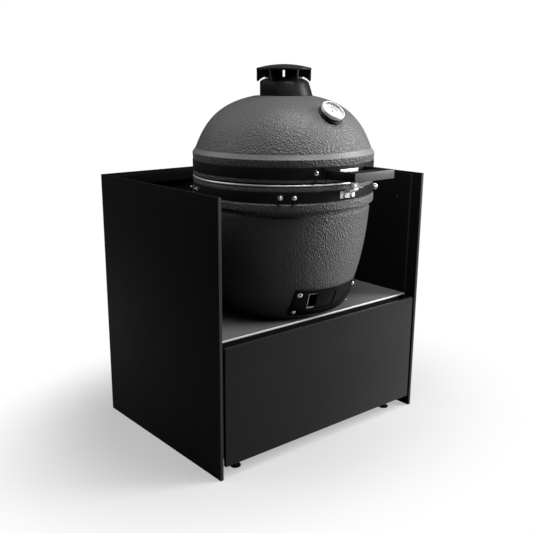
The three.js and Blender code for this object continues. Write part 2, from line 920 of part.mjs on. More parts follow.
function hingeBracket(plate, boltZ, offset, plateZ, fromAngle, toAngle, holeRadius) {
  const ears = sides.map(([, side]) => hingeEar(side, offset, plateZ, fromAngle, toAngle));
  const bolts = [180 - hingeBoltAngle, 180 + hingeBoltAngle].map(
    (angle) => outwards(boltHead(), angle, hingePlateOuter, boltZ),
  );
  const reach = offset + hingeEarThickness + overrun;
  const hole = crossRod(holeRadius, -reach, reach, hingeReach, hingeZ);
  return cut(join(plate, ...ears, ...bolts), hole);
}

// A wire spring round the pin: a straight end that bears on the hinge plate, the coils, and a
// straight upright end.
class SpringCurve extends THREE.Curve {
  constructor(side) {
    super();
    this.side = side;
    this.coilRadius = hingePinRadius + pivotGap + springWire / 2;
    this.startX = upperEarOffset - hingeEarThickness - pivotGap - springWire / 2;
    this.footLength = hingeReach - Math.sqrt(hingePlateOuter ** 2 - this.startX ** 2) - seam;
    this.sweep = fullTurn * springTurns - quarterTurn;
    this.coilLength = this.sweep * Math.hypot(this.coilRadius, springPitch / fullTurn);
    this.total = this.footLength + this.coilLength + springStub;
  }

  at(travel) {
    const { coilRadius, startX, footLength, coilLength, sweep } = this;
    const x = (turn) => this.side * (startX - (springPitch * turn) / fullTurn);
    if (travel < footLength) {
      return new THREE.Vector3(x(0), hingeReach - footLength + travel, hingeZ - coilRadius);
    }
    if (travel < footLength + coilLength) {
      const turn = (sweep * (travel - footLength)) / coilLength;
      return new THREE.Vector3(
        x(turn),
        hingeReach + coilRadius * Math.sin(turn),
        hingeZ - coilRadius * Math.cos(turn),
      );
    }
    const rise = travel - footLength - coilLength;
    return new THREE.Vector3(x(sweep), hingeReach - coilRadius, hingeZ + rise);
  }

  getPoint(share, target = new THREE.Vector3()) {
    return target.copy(this.at(share * this.total));
  }
}

// The least gap between turns of a spring, measured between points more than half a turn apart.
function leastTurnGap(curve) {
  const step = curve.coilLength / (springTurns * 2 * springStepsPerTurn);
  let least = Infinity;
  for (let first = curve.footLength; first < curve.footLength + curve.coilLength; first += step) {
    for (let next = first + Math.PI * curve.coilRadius; next < curve.total; next += step) {
      least = Math.min(least, curve.at(first).distanceTo(curve.at(next)) - springWire);
    }
  }
  return least;
}

function buildLowerHinge() {
  const plate = bandPlate(hingePlateInner, hingeSheet, lowerPlateHalfWidth, ...lowerPlateZ, 1);
  const bracket = hingeBracket(
    plate,
    lowerBoltZ,
    lowerEarOffset,
    lowerPlateZ,
    lowerEarFromAngle,
    lowerEarToAngle,
    hingePinRadius + seam,
  );
  add(grill, 'lower_hinge_bracket', bracket, 'blackSteel');
  const earFace = lowerEarOffset + hingeEarThickness + seam;
  const pin = turned([
    [0, -earFace - hingePinHead],
    [hingePinHeadRadius, -earFace - hingePinHead],
    [hingePinHeadRadius, -earFace],
    [hingePinRadius, -earFace],
    [hingePinRadius, earFace],
    [hingePinHeadRadius, earFace],
    [hingePinHeadRadius, earFace + hingePinHead],
    [0, earFace + hingePinHead],
  ], smallSegments);
  pin.rotateY(quarterTurn).translate(0, hingeReach, hingeZ);
  add(grill, 'hinge_pin', pin, 'stainless');
  for (const [sideName, side] of sides) {
    const path = new SpringCurve(side);
    const section = new THREE.Shape(
      arcPoints(0, 0, springWire / 2, 0, 360 - 360 / springSides, springSides - 1)
        .map(([x, y]) => new THREE.Vector2(x, y)),
    );
    const steps = Math.round((springStepsPerTurn * path.total) / (path.coilRadius * fullTurn));
    const wire = new THREE.ExtrudeGeometry(section, { steps, extrudePath: path, bevelEnabled: false });
    add(grill, `${sideName}_hinge_spring`, closed(wire), 'springSteel');
    console.log(`${sideName} hinge spring: least gap between turns ${leastTurnGap(path).toFixed(2)} mm`);
  }
}

// Draft frame, plate and door: sheets that follow the body's curve at a distance outside it
function bodySheet(nearGap, farGap, z0, z1) {
  const near = [];
  const far = [];
  for (let step = 0; step <= sheetSteps; step += 1) {
    const z = z0 + ((z1 - z0) * step) / sheetSteps;
    const radius = radiusAtHeight(bodyCurve, z);
    near.unshift([radius + nearGap, z]);
    far.push([radius + farGap, z]);
  }
  return ring([...far, ...near], draftSegments);
}

const draftPlateFace = seam + draftPlateSheet;
const doorBack = draftPlateFace + slideGap;
const pocketDepth = doorBack + doorSheet + slideGap;
const frameDepth = pocketDepth + frameSheet;
const frameTop = frameBottom + frameHeight;
const windowTop = windowBottom + windowHeight;

// The front part of a body sheet, as wide as the frame less an inset at each side.
function frontSheet(nearGap, farGap, inset) {
  const sheet = bodySheet(nearGap, farGap, frameBottom + inset, frameTop - inset);
  const width = frameHalfWidth - inset;
  const keep = block([-width, width], [-footRadius - bodyTopRadius, 0], [0, bodyHeight]);
  return overlap(sheet, keep);
}

function buildDraftFrame() {
  const plateHole = draftTool(draftHoleFromAngle, draftHoleToAngle, draftHoleLow, draftHoleHigh);
  const plate = cut(frontSheet(seam, draftPlateFace, draftPlateInset), plateHole);
  add(grill, 'draft_plate', plate, 'stainless');

  const doorBottom = windowBottom - doorOverlap;
  const doorTop = windowTop + doorOverlap;
  const pocketSheet = bodySheet(
    -seam,
    pocketDepth,
    doorBottom - slideGap,
    doorTop + slideGap,
  );
  const reach = footRadius + bodyTopRadius;
  const pocket = overlap(
    pocketSheet,
    wedge(pocketFromAngle, pocketToAngle, reach, 0, bodyHeight),
  );
  const windowTool = draftTool(windowFromAngle, windowToAngle, 0, 0);
  const sheet = cut(frontSheet(draftPlateFace + seam, frameDepth, 0), pocket, windowTool);

  const bolts = [];
  for (const z of [frameBottom + frameBoltInset, frameTop - frameBoltInset]) {
    const radius = radiusAtHeight(bodyCurve, z) + frameDepth;
    const angle = THREE.MathUtils.radToDeg(Math.asin(frameBoltSpread / radius));
    const below = radiusAtHeight(bodyCurve, z - frameBoltInset);
    const above = radiusAtHeight(bodyCurve, z + frameBoltInset);
    const lean = Math.atan2(above - below, 2 * frameBoltInset);
    for (const turn of [-angle, angle]) {
      bolts.push(outwards(boltHead().rotateX(lean), turn, radius, z));
    }
  }
  add(grill, 'draft_frame', join(sheet, ...bolts), 'blackSteel');

  const doorSheetShape = bodySheet(doorBack, doorBack + doorSheet, doorBottom, doorTop);
  const door = overlap(doorSheetShape, wedge(doorFromAngle, doorToAngle, reach, 0, bodyHeight));
  add(grill, 'draft_door', door, 'blackSteel');
}

// Latch: a base with two ears on the lower band, a swinging lever, and the keeper on the lid
const latchPlateInner = bandOuter + seam;
const latchPlateOuter = latchPlateInner + latchSheet;
const latchZ = lowerBandTop + latchPivotRise;
const latchY = -latchPlateOuter - latchPivotOut;
const keeperInner = bandOuter + 2 * seam + handlePlateSheet;
const keeperOuter = keeperInner + latchSheet;
const keeperZ = latchZ + leverArm - leverNoseGap - keeperTongueSheet;

function buildLatch() {
  const plateZ = [lowerBandBottom + latchBaseLow, lowerBandTop - latchBaseHigh];
  const plate = bandPlate(latchPlateInner, latchSheet, latchBaseHalfWidth, ...plateZ, -1);
  const ears = sides.map(([, side]) => {
    const outline = [
      [-latchPlateInner - latchSheet / 2, plateZ[0] + latchEarRadius],
      ...arcPoints(latchY, latchZ, latchEarRadius, latchEarFromAngle, latchEarToAngle),
      [-latchPlateInner - latchSheet / 2, plateZ[1]],
    ];
    const [x0, x1] = spanFrom(side, latchEarOffset - latchSheet, latchEarOffset);
    return drawnOut(outline, x0, x1);
  });
  const pinEnd = latchEarOffset + latchPinEnd;
  const pin = crossRod(latchPinRadius, -pinEnd, pinEnd, latchY, latchZ);
  const screws = [-latchScrewOffset, latchScrewOffset].map((offset) => {
    const head = turned([
      [0, -boltSink],
      [latchScrewRadius, -boltSink],
      [latchScrewRadius, latchScrewHeight / 2],
      [0, latchScrewHeight],
    ], smallSegments);
    const angle = THREE.MathUtils.radToDeg(Math.asin(offset / latchPlateOuter));
    return outwards(head, angle, latchPlateOuter, lowerBandBottom + latchScrewRise);
  });
  add(grill, 'latch_base', join(plate, ...ears, pin, ...screws), 'stainless');

  // The lever, shut, in its own Y and Z from the pin, then swung out to where it rests.
  const half = leverSheet / 2;
  const arm = drawnOut([
    ...arcPoints(0, 0, latchEarRadius, leverEyeFromAngle, leverEyeToAngle),
    [half, leverArm],
    [leverNose, leverArm],
    [leverNose, leverArm + leverSheet],
    [-half, leverArm + leverSheet],
  ], -leverWidth / 2, leverWidth / 2);
  const tab = drawnOut([
    [0, leverTabLow],
    [-leverTabReach, leverTabLow + leverTabRise],
    [-leverTabReach, leverTabLow + leverTabRise + latchSheet],
    [0, leverTabLow + latchSheet],
  ], -leverTabWidth / 2, leverTabWidth / 2);
  const hole = crossRod(latchPinRadius + pivotGap, -leverTabWidth, leverTabWidth, 0, 0);
  const lever = add(grill, 'latch_lever', cut(join(arm, tab), hole), 'stainless');
  lever.position.set(0, latchY, latchZ);
  lever.rotation.x = degToRad(leverOpenAngle);

  const keeperPlate = bandPlate(
    keeperInner,
    latchSheet,
    keeperHalfWidth,
    keeperZ,
    keeperZ + keeperHeight,
    -1,
  );
  const tongue = block(
    [-keeperTongueHalfWidth, keeperTongueHalfWidth],
    [latchY + keeperTongueEnd, -keeperInner - latchSheet / 2],
    [keeperZ, keeperZ + keeperTongueSheet],
  );
  add(grill, 'latch_keeper', join(keeperPlate, tongue), 'stainless');
}

function buildLidShell() {
  const outer = curvePairs(domeCurve, domeSteps).filter(([radius]) => radius > neckSeatRadius);
  const inner = [];
  for (let step = innerSteps; step >= 0; step -= 1) {
    const point = domeCurve.getPoint(step / innerSteps);
    const along = domeCurve.getTangent(step / innerSteps);
    const radius = point.x - along.y * shellThickness;
    if (radius > flueRadius) inner.push([radius, point.y + along.x * shellThickness]);
  }
  const dome = ring([
    [rimInner, lidBottom],
    [rimRadius, lidBottom],
    [rimRadius, lidLipTop],
    [bandSeatRadius, lidLipTop],
    [bandSeatRadius, upperBandTop + seam],
    [lidBeadRadius, upperBandTop + seam],
    [lidBeadRadius, lidBeadTop],
    ...outer,
    [neckSeatRadius, neckSeat],
    [flueRadius, neckSeat],
    [flueRadius, neckSeat - shellThickness],
    ...inner,
  ]);
  const probeHole = disc(probeHoleRadius, -probeLength, probeLength);
  probeHole.applyMatrix4(dialPlace.matrix);
  add(grill, 'lid_dome', cut(dome, probeHole), 'ceramic');
  const gasket = band(rimInner, lidGasketRadius, baseGasketTop + seam, lidGasketTop);
  add(grill, 'lid_gasket', gasket, 'blackFelt');
}

function buildUpperBand() {
  const bolts = [-handleBoltAngle, handleBoltAngle].map(
    (angle) => outwards(boltHead(), angle, bandOuter, upperBoltZ),
  );
  const band = join(splitBand(upperBandBottom, upperBandTop), ...bolts);
  add(grill, 'upper_band', band, 'blackSteel');
  const plate = bandPlate(hingePlateInner, hingeSheet, upperPlateHalfWidth, ...upperPlateZ, 1);
  const earZ = [upperBandBottom, upperBandTop];
  const bracket = hingeBracket(
    plate,
    upperBoltZ,
    upperEarOffset - hingeEarThickness,
    earZ,
    upperEarFromAngle,
    upperEarToAngle,
    hingePinRadius + pivotGap,
  );
  add(grill, 'upper_hinge_bracket', bracket, 'blackSteel');
}

function buildHandle() {
  const barZ = upperBoltZ - handleDrop - handleBarHeight / 2;
  const barBackY = -handleReach + handleBarDepth;
  const half = handleLength / 2;
  const bar = block([-half, half], [-handleReach, barBackY], [barZ, barZ + handleBarHeight]);
  add(grill, 'handle_bar', bar, 'greyHandle');
  const plateInner = bandOuter + seam;
  const plate = bandPlate(
    plateInner,
    handlePlateSheet,
    handlePlateHalfWidth,
    upperBandBottom - handlePlateLow,
    upperBandTop + handlePlateHigh,
    -1,
  );
  const armRoot = -Math.sqrt(plateInner ** 2 - (half - handleSheet) ** 2) - seam;
  const armEnd = barBackY + seam;
  const pieces = [];
  for (const [, side] of sides) {
    const armX = spanFrom(side, half - handleSheet, half);
    pieces.push(block(armX, [armEnd, armRoot], [barZ, barZ + handleBarHeight]));
    const tabX = spanFrom(side, half - handleTabLength, half);
    pieces.push(block(tabX, [armEnd, armEnd + handleSheet], [barZ, barZ + handleBarHeight]));
    const head = boltHead().rotateX(-quarterTurn);
    const screwX = side * (half - handleTabLength + washerRadius);
    pieces.push(head.translate(screwX, armEnd + handleSheet, barZ + handleBarHeight / 2));
  }
  add(grill, 'handle_bracket', join(plate, ...pieces), 'blackSteel');
}

// Chimney: the neck is a cone with two flats and a rounded back
const chimney = new THREE.Group();
chimney.position.z = neckSeat + seam;
grill.add(chimney);
const damperPlateTop = neckHeight - damperPlateDrop;
const damperPlateBottom = damperPlateTop - damperPlateThickness;

// Sector windows round the axis, turned by an angle in degrees.
function damperWindows(turn) {
  const windows = [];
  for (let window = 0; window < damperWindowCount; window += 1) {
    const middle = turn + (360 / damperWindowCount) * window;
    const sector = wedge(
      middle - damperWindowAngle / 2,
      middle + damperWindowAngle / 2,
      damperWindowOuter,
      damperPlateBottom - overrun / 2,
      neckHeight + overrun / 2,
    );
    windows.push(cut(sector, disc(damperWindowInner, 0, neckHeight + overrun)));
  }
  return windows;
}

function buildNeck() {
  const shoulder = neckShoulderShares.map(([radiusShare, heightShare]) => [
    neckShoulderRadius - (neckShoulderRadius - neckTopRadius) * radiusShare,
    neckShoulderHeight + (neckHeight - neckShoulderHeight) * heightShare,
  ]);
  const spigotRadius = flueRadius - slideGap;
  const cone = ring([
    [damperSpindleRadius + pivotGap, damperPlateBottom],
    [neckBore, damperPlateBottom],
    [neckBore, -neckSpigot],
    [spigotRadius, -neckSpigot],
    [spigotRadius, 0],
    [neckFootRadius, 0],
    [neckShoulderRadius, neckShoulderHeight],
    ...shoulder,
    [neckTopRadius, neckHeight],
    [neckBore, neckHeight],
    [neckBore, damperPlateTop],
    [damperSpindleRadius + pivotGap, damperPlateTop],
  ], capSegments);
  const cornerX = neckFlatHalfWidth - neckBackCorner;
  const cornerY = neckBackReach - neckBackCorner;
  const plan = raised([
    [-neckFlatHalfWidth, -neckFootRadius - overrun],
    [neckFlatHalfWidth, -neckFootRadius - overrun],
    ...arcPoints(cornerX, cornerY, neckBackCorner, 0, 90),
    ...arcPoints(-cornerX, cornerY, neckBackCorner, 90, 180),
  ], -neckSpigot - overrun, neckHeight + overrun);
  add(chimney, 'chimney_neck', cut(overlap(cone, plan), ...damperWindows(0)), 'castIron');
}

function buildCap() {
  const hubBottom = neckHeight + seam;
  const hubTop = hubBottom + hubThickness;
  const rotorBottom = damperPlateTop + seam;
  const rotorTop = rotorBottom + rotorThickness;
  const rimTop = capUnderside + capRimThickness;
  const crown = [];
  for (let step = 0; step <= cutSteps; step += 1) {
    const share = 1 - step / cutSteps;
    crown.push([capRadius * share, rimTop + capDomeHeight * (1 - share ** 2)]);
  }
  const roof = turned([
    [0, capUnderside + capHollow],
    [capRadius - capRimThickness, capUnderside],
    [capRadius, capUnderside],
    ...crown,
  ], capSegments);
  const hub = band(hubInnerRadius, hubOuterRadius, hubBottom, hubTop, capSegments);
  const spindleEnd = damperPlateBottom - seam - damperNutHeight;
  const rotor = join(
    disc(rotorRadius, rotorBottom, rotorTop, capSegments),
    disc(damperSpindleRadius, spindleEnd, rotorTop),
  );
  const finLow = neckHeight - finLowDrop;
  const finOutline = [
    [finInnerRadius, rotorTop - rotorThickness / 2],
    [hubInnerRadius + finCorner, rotorTop - rotorThickness / 2],
    [hubInnerRadius + finCorner, hubBottom + hubThickness / 2],
    [hubOuterRadius, hubTop],
    [(hubOuterRadius + finOuterRadius) / 2, (hubTop + finLow) / 2 + seam],
    ...arcPoints(finOuterRadius - finCorner, finLow + finCorner, finCorner, -90, 0, 3),
    [finOuterRadius, capUnderside + capRimThickness / 2],
    [finInnerRadius, capUnderside + capRimThickness / 2],
  ];
  const fins = [];
  for (let fin = 0; fin < finCount; fin += 1) {
    const plate = drawnOut(finOutline.map(([r, z]) => [-r, z]), -finThickness / 2, finThickness / 2);
    fins.push(plate.rotateZ(degToRad(capTurnAngle + (360 / finCount) * fin)));
  }
  const openRotor = cut(rotor, ...damperWindows(rotorTurnAngle));
  add(chimney, 'chimney_cap', join(roof, hub, ...fins, openRotor), 'castIron');
  const nut = disc(damperNutRadius, spindleEnd, spindleEnd + damperNutHeight, nutSides);
  const nutBore = disc(damperSpindleRadius + seam, spindleEnd - overrun, neckHeight);
  add(chimney, 'cap_nut', cut(nut, nutBore), 'stainless');
}

// Thermometer: a group that stands square to the dome's surface
const dialPlace = new THREE.Group();

function placeDial() {
  const at = domeCurve.getPoint(dialDomeShare);
  const along = domeCurve.getTangent(dialDomeShare);
  dialPlace.position.set(0, -at.x, at.y);
  dialPlace.rotation.x = Math.atan2(along.y, -along.x);
  dialPlace.updateMatrix();
  grill.add(dialPlace);
}

function buildThermometer() {
  const mountTop = seam + mountHeight;
  const mount = ring([
    [probeRadius + seam, seam],
    [mountRadius, seam],
    [mountRadius, mountTop - mountFillet],
    [mountRadius - mountFillet, mountTop],
    [probeRadius + seam, mountTop],
  ], fireSegments);
  add(dialPlace, 'thermometer_mount', mount, 'blackPlastic');
  const caseBottom = mountTop + seam;
  const caseTop = caseBottom + caseHeight;
  const bore = caseRadius - caseLip + dialInset;
  const floorTop = caseBottom + caseBack;
  const shell = ring([
    [needleShaftRadius + pivotGap, floorTop],
    [needleShaftRadius + pivotGap, caseBottom - mountHeight / 2],
    [probeRadius, caseBottom - mountHeight / 2],
    [probeRadius, caseBottom],
    [caseRadius - caseEdge, caseBottom],
    [caseRadius, caseBottom + caseEdge],
    [caseRadius, caseTop - caseEdge],
    [caseRadius - caseEdge, caseTop],
    [caseRadius - caseLip, caseTop],
    [caseRadius - caseLip, caseTop - caseLipDepth],
    [bore, caseTop - caseLipDepth],
    [bore, floorTop],
  ], fireSegments);
  add(dialPlace, 'thermometer_case', shell, 'stainless');
  const dialBottom = floorTop + seam;
  const dialTop = dialBottom + dialThickness;
  const dial = band(needleShaftRadius + pivotGap, bore - seam, dialBottom, dialTop, fireSegments);
  add(dialPlace, 'thermometer_dial', dial, 'whiteDial');
  const lensTop = caseTop - caseLipDepth - seam;
  const lens = disc(bore - seam, lensTop - lensThickness, lensTop, fireSegments);
  add(dialPlace, 'thermometer_lens', lens, 'clearGlass');

  const needleZ = dialTop + needleHubHeight / 2;
  const pointer = raised([
    [-needleWidth / 2, -needleTail],
    [needleWidth / 2, -needleTail],
    [needleWidth / 2, 0],
    [0, needleLength],
    [-needleWidth / 2, 0],
  ], needleZ, needleZ + needleThickness);
  const hub = disc(needleHubRadius, dialTop + seam, needleZ + needleThickness);
  const shaft = disc(needleShaftRadius, caseBottom, needleZ);
  const needle = add(dialPlace, 'thermometer_needle', join(pointer, hub, shaft), 'redNeedle');
  needle.rotation.z = degToRad(needleRestAngle);

  const probeTop = caseBottom - mountHeight / 2 - seam;
  const nutTop = -shellThickness - probeNutGap;
  const probe = join(
    disc(probeRadius, -probeLength, probeTop),
    disc(probeNutRadius, nutTop - probeNutHeight, nutTop, nutSides),
  );
  add(dialPlace, 'thermometer_probe', probe, 'stainless');
}

buildCabinet();
buildShelf();
buildLevellingFeet();
buildDrawer();
buildRunners();
placeDial();
buildBaseShell();
buildFireParts();
buildLowerBand();
buildLowerHinge();
buildDraftFrame();
buildLatch();
buildLidShell();
buildUpperBand();
buildHandle();
buildNeck();
buildCap();
buildThermometer();

// The origin lies on the floor under the middle of the whole table, handle included.
const foremostY = grillAxisY - handleReach;
table.position.y = -(foremostY + backY) / 2;

export default table;
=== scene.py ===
"""A kamado grill table: its visible pieces, their finishes and the studio round them."""
import math

import bmesh
import bpy
from mathutils import Matrix, Vector


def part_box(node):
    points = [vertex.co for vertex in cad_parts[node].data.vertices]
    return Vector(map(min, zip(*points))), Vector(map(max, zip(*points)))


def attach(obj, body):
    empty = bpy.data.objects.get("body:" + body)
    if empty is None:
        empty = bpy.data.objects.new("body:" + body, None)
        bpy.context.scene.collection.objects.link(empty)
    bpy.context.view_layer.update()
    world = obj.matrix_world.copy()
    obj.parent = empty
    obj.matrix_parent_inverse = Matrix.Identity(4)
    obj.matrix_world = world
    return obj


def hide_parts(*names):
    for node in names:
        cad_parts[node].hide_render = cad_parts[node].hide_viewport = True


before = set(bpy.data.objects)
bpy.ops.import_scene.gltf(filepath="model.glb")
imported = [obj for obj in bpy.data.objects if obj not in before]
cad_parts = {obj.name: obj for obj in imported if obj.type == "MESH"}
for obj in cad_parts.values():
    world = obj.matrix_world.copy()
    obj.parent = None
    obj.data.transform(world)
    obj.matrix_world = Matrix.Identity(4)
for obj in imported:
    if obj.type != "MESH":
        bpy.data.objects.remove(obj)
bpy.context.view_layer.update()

bl_info = {
    "name": "Kamado Grill Table",
    "version": (1, 0, 0),
    "blender": (4, 5, 0),
    "location": "View3D > Sidebar > Grill Table",
    "description": "Builds the visible pieces of a kamado grill table over its solids",
    "category": "Object",
}

MM = 0.001
FULL_TURN = 2 * math.pi
ORIGIN = Vector((0, 0, 0))
WELD = 2e-6

# Rounding of drawn outlines: points on a corner, the least bend that is rounded, and the
# share of a side that a corner may take
CORNER_STEPS = 4
LEAST_BEND = math.radians(20)
LONGEST_EASE = 0.45

# The axis of the kamado and the shelf that it stands on, in metres
SHELL_LOW, SHELL_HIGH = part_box("base_shell")
GRILL = Vector((0, (SHELL_LOW.y + SHELL_HIGH.y) / 2, SHELL_LOW.z))
DOME_LOW, DOME_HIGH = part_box("lid_dome")

# Radii and heights of the kamado above the shelf, in millimetres
BODY_CURVE = [(204, 0), (252.7, 56.5), (292.2, 195.4), (300.5, 371.5)]
INNER_CURVE = [(178, 40), (226.2, 90.4), (265.3, 214.4), (273.5, 371.5)]
DOME_CURVE = [(298.9, 556.7), (267.69, 634.01), (220.11, 733.2), (0, 733.2)]
BAND_SEAT = 306
BAND_FACE = 309.7
PLATE_SEAT = 310
LOWER_BAND = (410.5, 443)
UPPER_BAND = (483.3, 517.9)
RIM = 308.5
RIM_INNER = 279.5
SEAT_GAP = 0.3
# Heights above which the rim's braid is bright; below them it is painted dark as shade
BRAID_BRIGHT = (459.5, 461.5)
# Heights of the lid's rounded shoulder, where the glaze carries a painted highlight
SHOULDER_HIGHLIGHT = (541.5, 556)
# Heights over which the lid's glaze is painted darker towards the neck: painted shade
NECK_SHADE = (640, 725)
NECK_BASE = 725.5
PIN_REACH = 340
PIN_Z = 457.5


# Measures and places

def mm(x, y, z):
    """A vector given in millimetres."""
    return MM * Vector((x, y, z))


def turn(degrees, axis):
    return Matrix.Rotation(math.radians(degrees), 4, axis)


def at_grill(x, y, z):
    """A place in millimetres from the kamado's foot, as a matrix."""
    return Matrix.Translation(GRILL + mm(x, y, z))


def outwards(angle, radius, height, lean=0):
    """The place of a fastener that points out of the kamado, at an angle from its front."""
    return (
        Matrix.Translation(GRILL) @ turn(angle, "Z")
        @ Matrix.Translation(mm(0, -radius, height)) @ turn(90 + lean, "X")
    )


def bolt_places(angles, radius, height):
    return [outwards(angle, radius, height) for angle in angles]


# Selecting and drawing

def to_object_mode():
    if bpy.context.mode != "OBJECT":
        bpy.ops.object.mode_set(mode="OBJECT")
    bpy.ops.object.select_all(action="DESELECT")


def alone(piece):
    """Makes one piece the selected and active one."""
    to_object_mode()
    piece.select_set(True)
    bpy.context.view_layer.objects.active = piece


def start_from(primitive, name, **options):
    """Adds a primitive at its size and place, with nothing else selected, and names it."""
    to_object_mode()
    primitive(**options)
    piece = bpy.context.active_object
    piece.name = piece.data.name = name
    bpy.ops.object.transform_apply(location=True, rotation=True, scale=True)
    return piece


def remove(piece):
    mesh = piece.data
    bpy.data.objects.remove(piece)
    bpy.data.meshes.remove(mesh)


def edit(piece):
    """Opens a piece in edit mode with nothing selected and gives its mesh."""
    alone(piece)
    bpy.ops.object.mode_set(mode="EDIT")
    bpy.ops.mesh.select_mode(type="VERT")
    bpy.ops.mesh.select_all(action="DESELECT")
    return bmesh.from_edit_mesh(piece.data)


def mark(piece, corners):
    """Selects these corners in edit mode."""
    for corner in corners:
        corner.select_set(True)
    bmesh.update_edit_mesh(piece.data)


def chain(name, points, loop):
    """A drawn line: one corner of a small plane, extruded from point to point."""
    points = [Vector(point) for point in points]
    piece = start_from(bpy.ops.mesh.primitive_plane_add, name, size=MM, location=(0, 0, 0))
    mesh = edit(piece)
    mesh.verts.ensure_lookup_table()
    mark(piece, mesh.verts[1:])
    bpy.ops.mesh.delete(type="VERT")
    bpy.ops.mesh.select_all(action="SELECT")
    mesh = bmesh.from_edit_mesh(piece.data)
    mesh.verts.ensure_lookup_table()
    bpy.ops.transform.translate(value=points[0] - mesh.verts[0].co)
    for here, there in zip(points, points[1:]):
        bpy.ops.mesh.extrude_vertices_move(TRANSFORM_OT_translate={"value": there - here})
    if loop:
        bpy.ops.mesh.select_all(action="DESELECT")
        mesh = bmesh.from_edit_mesh(piece.data)
        mark(piece, [corner for corner in mesh.verts if len(corner.link_edges) == 1])
        bpy.ops.mesh.edge_face_add()
    return piece


def welded(piece):
    """Merges doubles, closes what is open and turns the faces outwards."""
    bpy.ops.mesh.select_all(action="SELECT")
    bpy.ops.mesh.remove_doubles(threshold=WELD)
    bpy.ops.mesh.select_all(action="SELECT")
    bpy.ops.mesh.fill_holes(sides=0)
    bpy.ops.mesh.normals_make_consistent(inside=False)
    bpy.ops.object.mode_set(mode="OBJECT")
    return piece


def eased(outline, ease, loop=False):
    """An outline in two dimensions with its corners rounded."""
    corners = [Vector(point) for point in outline]
    rounded = []
    for index, here in enumerate(corners):
        before = corners[index - 1]
        after = corners[(index + 1) % len(corners)]
        back, onward = before - here, after - here
        ends = not loop and index in (0, len(corners) - 1)
        bend = 0 if ends else (-back).angle(onward)
        if bend < LEAST_BEND:
            rounded.append(here)
            continue
        reach = min(
            ease * math.tan(bend / 2), back.length * LONGEST_EASE, onward.length * LONGEST_EASE
        )
        start = here + back.normalized() * reach
        end = here + onward.normalized() * reach
        for step in range(CORNER_STEPS + 1):
            share = step / CORNER_STEPS
            rounded.append(start.lerp(here, share).lerp(here.lerp(end, share), share))
    return rounded


def bezier(points, steps):
    """Points along a cubic curve, from its first to its last."""
    first, near, far, last = (Vector(point) for point in points)
    made = []
    for step in range(steps + 1):
        share = step / steps
        rest = 1 - share
        made.append(
            first * rest ** 3 + near * 3 * rest ** 2 * share
            + far * 3 * rest * share ** 2 + last * share ** 3
        )
    return made


def arc(centre, radius, from_angle, to_angle, steps=10):
    """Points of an arc in two dimensions, angles in degrees."""
    angles = [
        math.radians(from_angle + (to_angle - from_angle) * step / steps)
        for step in range(steps + 1)
    ]
    return [
        (centre[0] + radius * math.cos(angle), centre[1] + radius * math.sin(angle))
        for angle in angles
    ]


def ring_section(inner, outer, low, high):
    """The four corners of a ring's section: radii and heights."""
    return [(inner, low), (outer, low), (outer, high), (inner, high)]


def mirrored(half):
    """An outline of radii and heights, completed by its mirror image above."""
    return half + [(radius, -height) for radius, height in reversed(half)]


def spread_at(offset, radius):
    """The angle in degrees that an offset to the side takes at a radius."""
    return math.degrees(math.asin(min(1, offset / radius)))


def turned(name, outline, steps, centre=GRILL, loop=False, span=None, ease=0):
    """Spins an outline of radii and heights about the upright axis through centre.

    A span is a pair of angles in degrees, from the front towards the right. Where ease is
    given, the outline's corners are rounded by it first."""
    if ease:
        outline = eased(outline, ease, loop)
    start, end = (math.radians(angle) for angle in span) if span else (0, 0)
    points = [
        centre + mm(radius * math.sin(start), -radius * math.cos(start), height)
        for radius, height in outline
    ]
    piece = chain(name, points, loop)
    bpy.ops.mesh.select_all(action="SELECT")
    bpy.ops.mesh.spin(
        steps=steps,
        angle=start - end if span else FULL_TURN,
        center=centre,
        axis=(0, 0, 1),
    )
    return welded(piece)


def ring(name, section, steps, centre=GRILL, span=None, ease=0):
    """Spins a four-cornered section: its inner and outer radius, its low and high level."""
    return turned(name, ring_section(*section), steps, centre, True, span, ease)


def raised(name, outline, offset, origin=ORIGIN):
    """A flat outline in three dimensions, in millimetres from an origin, drawn out by offset."""
    points = [origin + mm(*point) for point in outline]
    piece = chain(name, points, True)
    bpy.ops.mesh.select_all(action="SELECT")
    bpy.ops.mesh.edge_face_add()
    bpy.ops.mesh.extrude_region_move(TRANSFORM_OT_translate={"value": mm(*offset)})
    return welded(piece)


def sideways(name, outline, x0, x1, origin=GRILL):
    """An outline of Y and Z in millimetres, drawn out along X from x0 to x1."""
    return raised(name, [(x0, y, z) for y, z in outline], (x1 - x0, 0, 0), origin)


def block(name, low, high):
    """A cube set between two corners, in metres."""
    low, high = Vector(low), Vector(high)
    return start_from(
        bpy.ops.mesh.primitive_cube_add,
        name,
        size=1,
        location=(low + high) / 2,
        scale=high - low,
    )


def bar(name, radius, depth, place=ORIGIN, sides=24, across=False):
    """A cylinder or hexagon of a radius and depth in millimetres, upright or across."""
    return start_from(
        bpy.ops.mesh.primitive_cylinder_add,
        name,
        vertices=sides,
        radius=radius * MM,
        depth=depth * MM,
        location=place,
        rotation=(0, math.radians(90) if across else 0, 0),
    )


# Modifiers, cuts and copies

def apply_modifier(piece, kind, **settings):
    alone(piece)
    modifier = piece.modifiers.new(kind.lower(), kind)
    for setting, value in settings.items():
        setattr(modifier, setting, value)
    bpy.ops.object.modifier_apply(modifier=modifier.name)
    return piece


def ease_edges(piece, width, segments=3, angle=40):
    """Rounds a piece's sharp edges by a width in metres."""
    return apply_modifier(
        piece,
        "BEVEL",
        width=width,
        segments=segments,
        limit_method="ANGLE",
        angle_limit=math.radians(angle),
        use_clamp_overlap=True,
    )


def carve(piece, *tools, operation="DIFFERENCE"):
    """Cuts a piece by tools, which are then removed."""
    for tool in tools:
        apply_modifier(piece, "BOOLEAN", operation=operation, object=tool, solver="EXACT")
        remove(tool)
    return piece


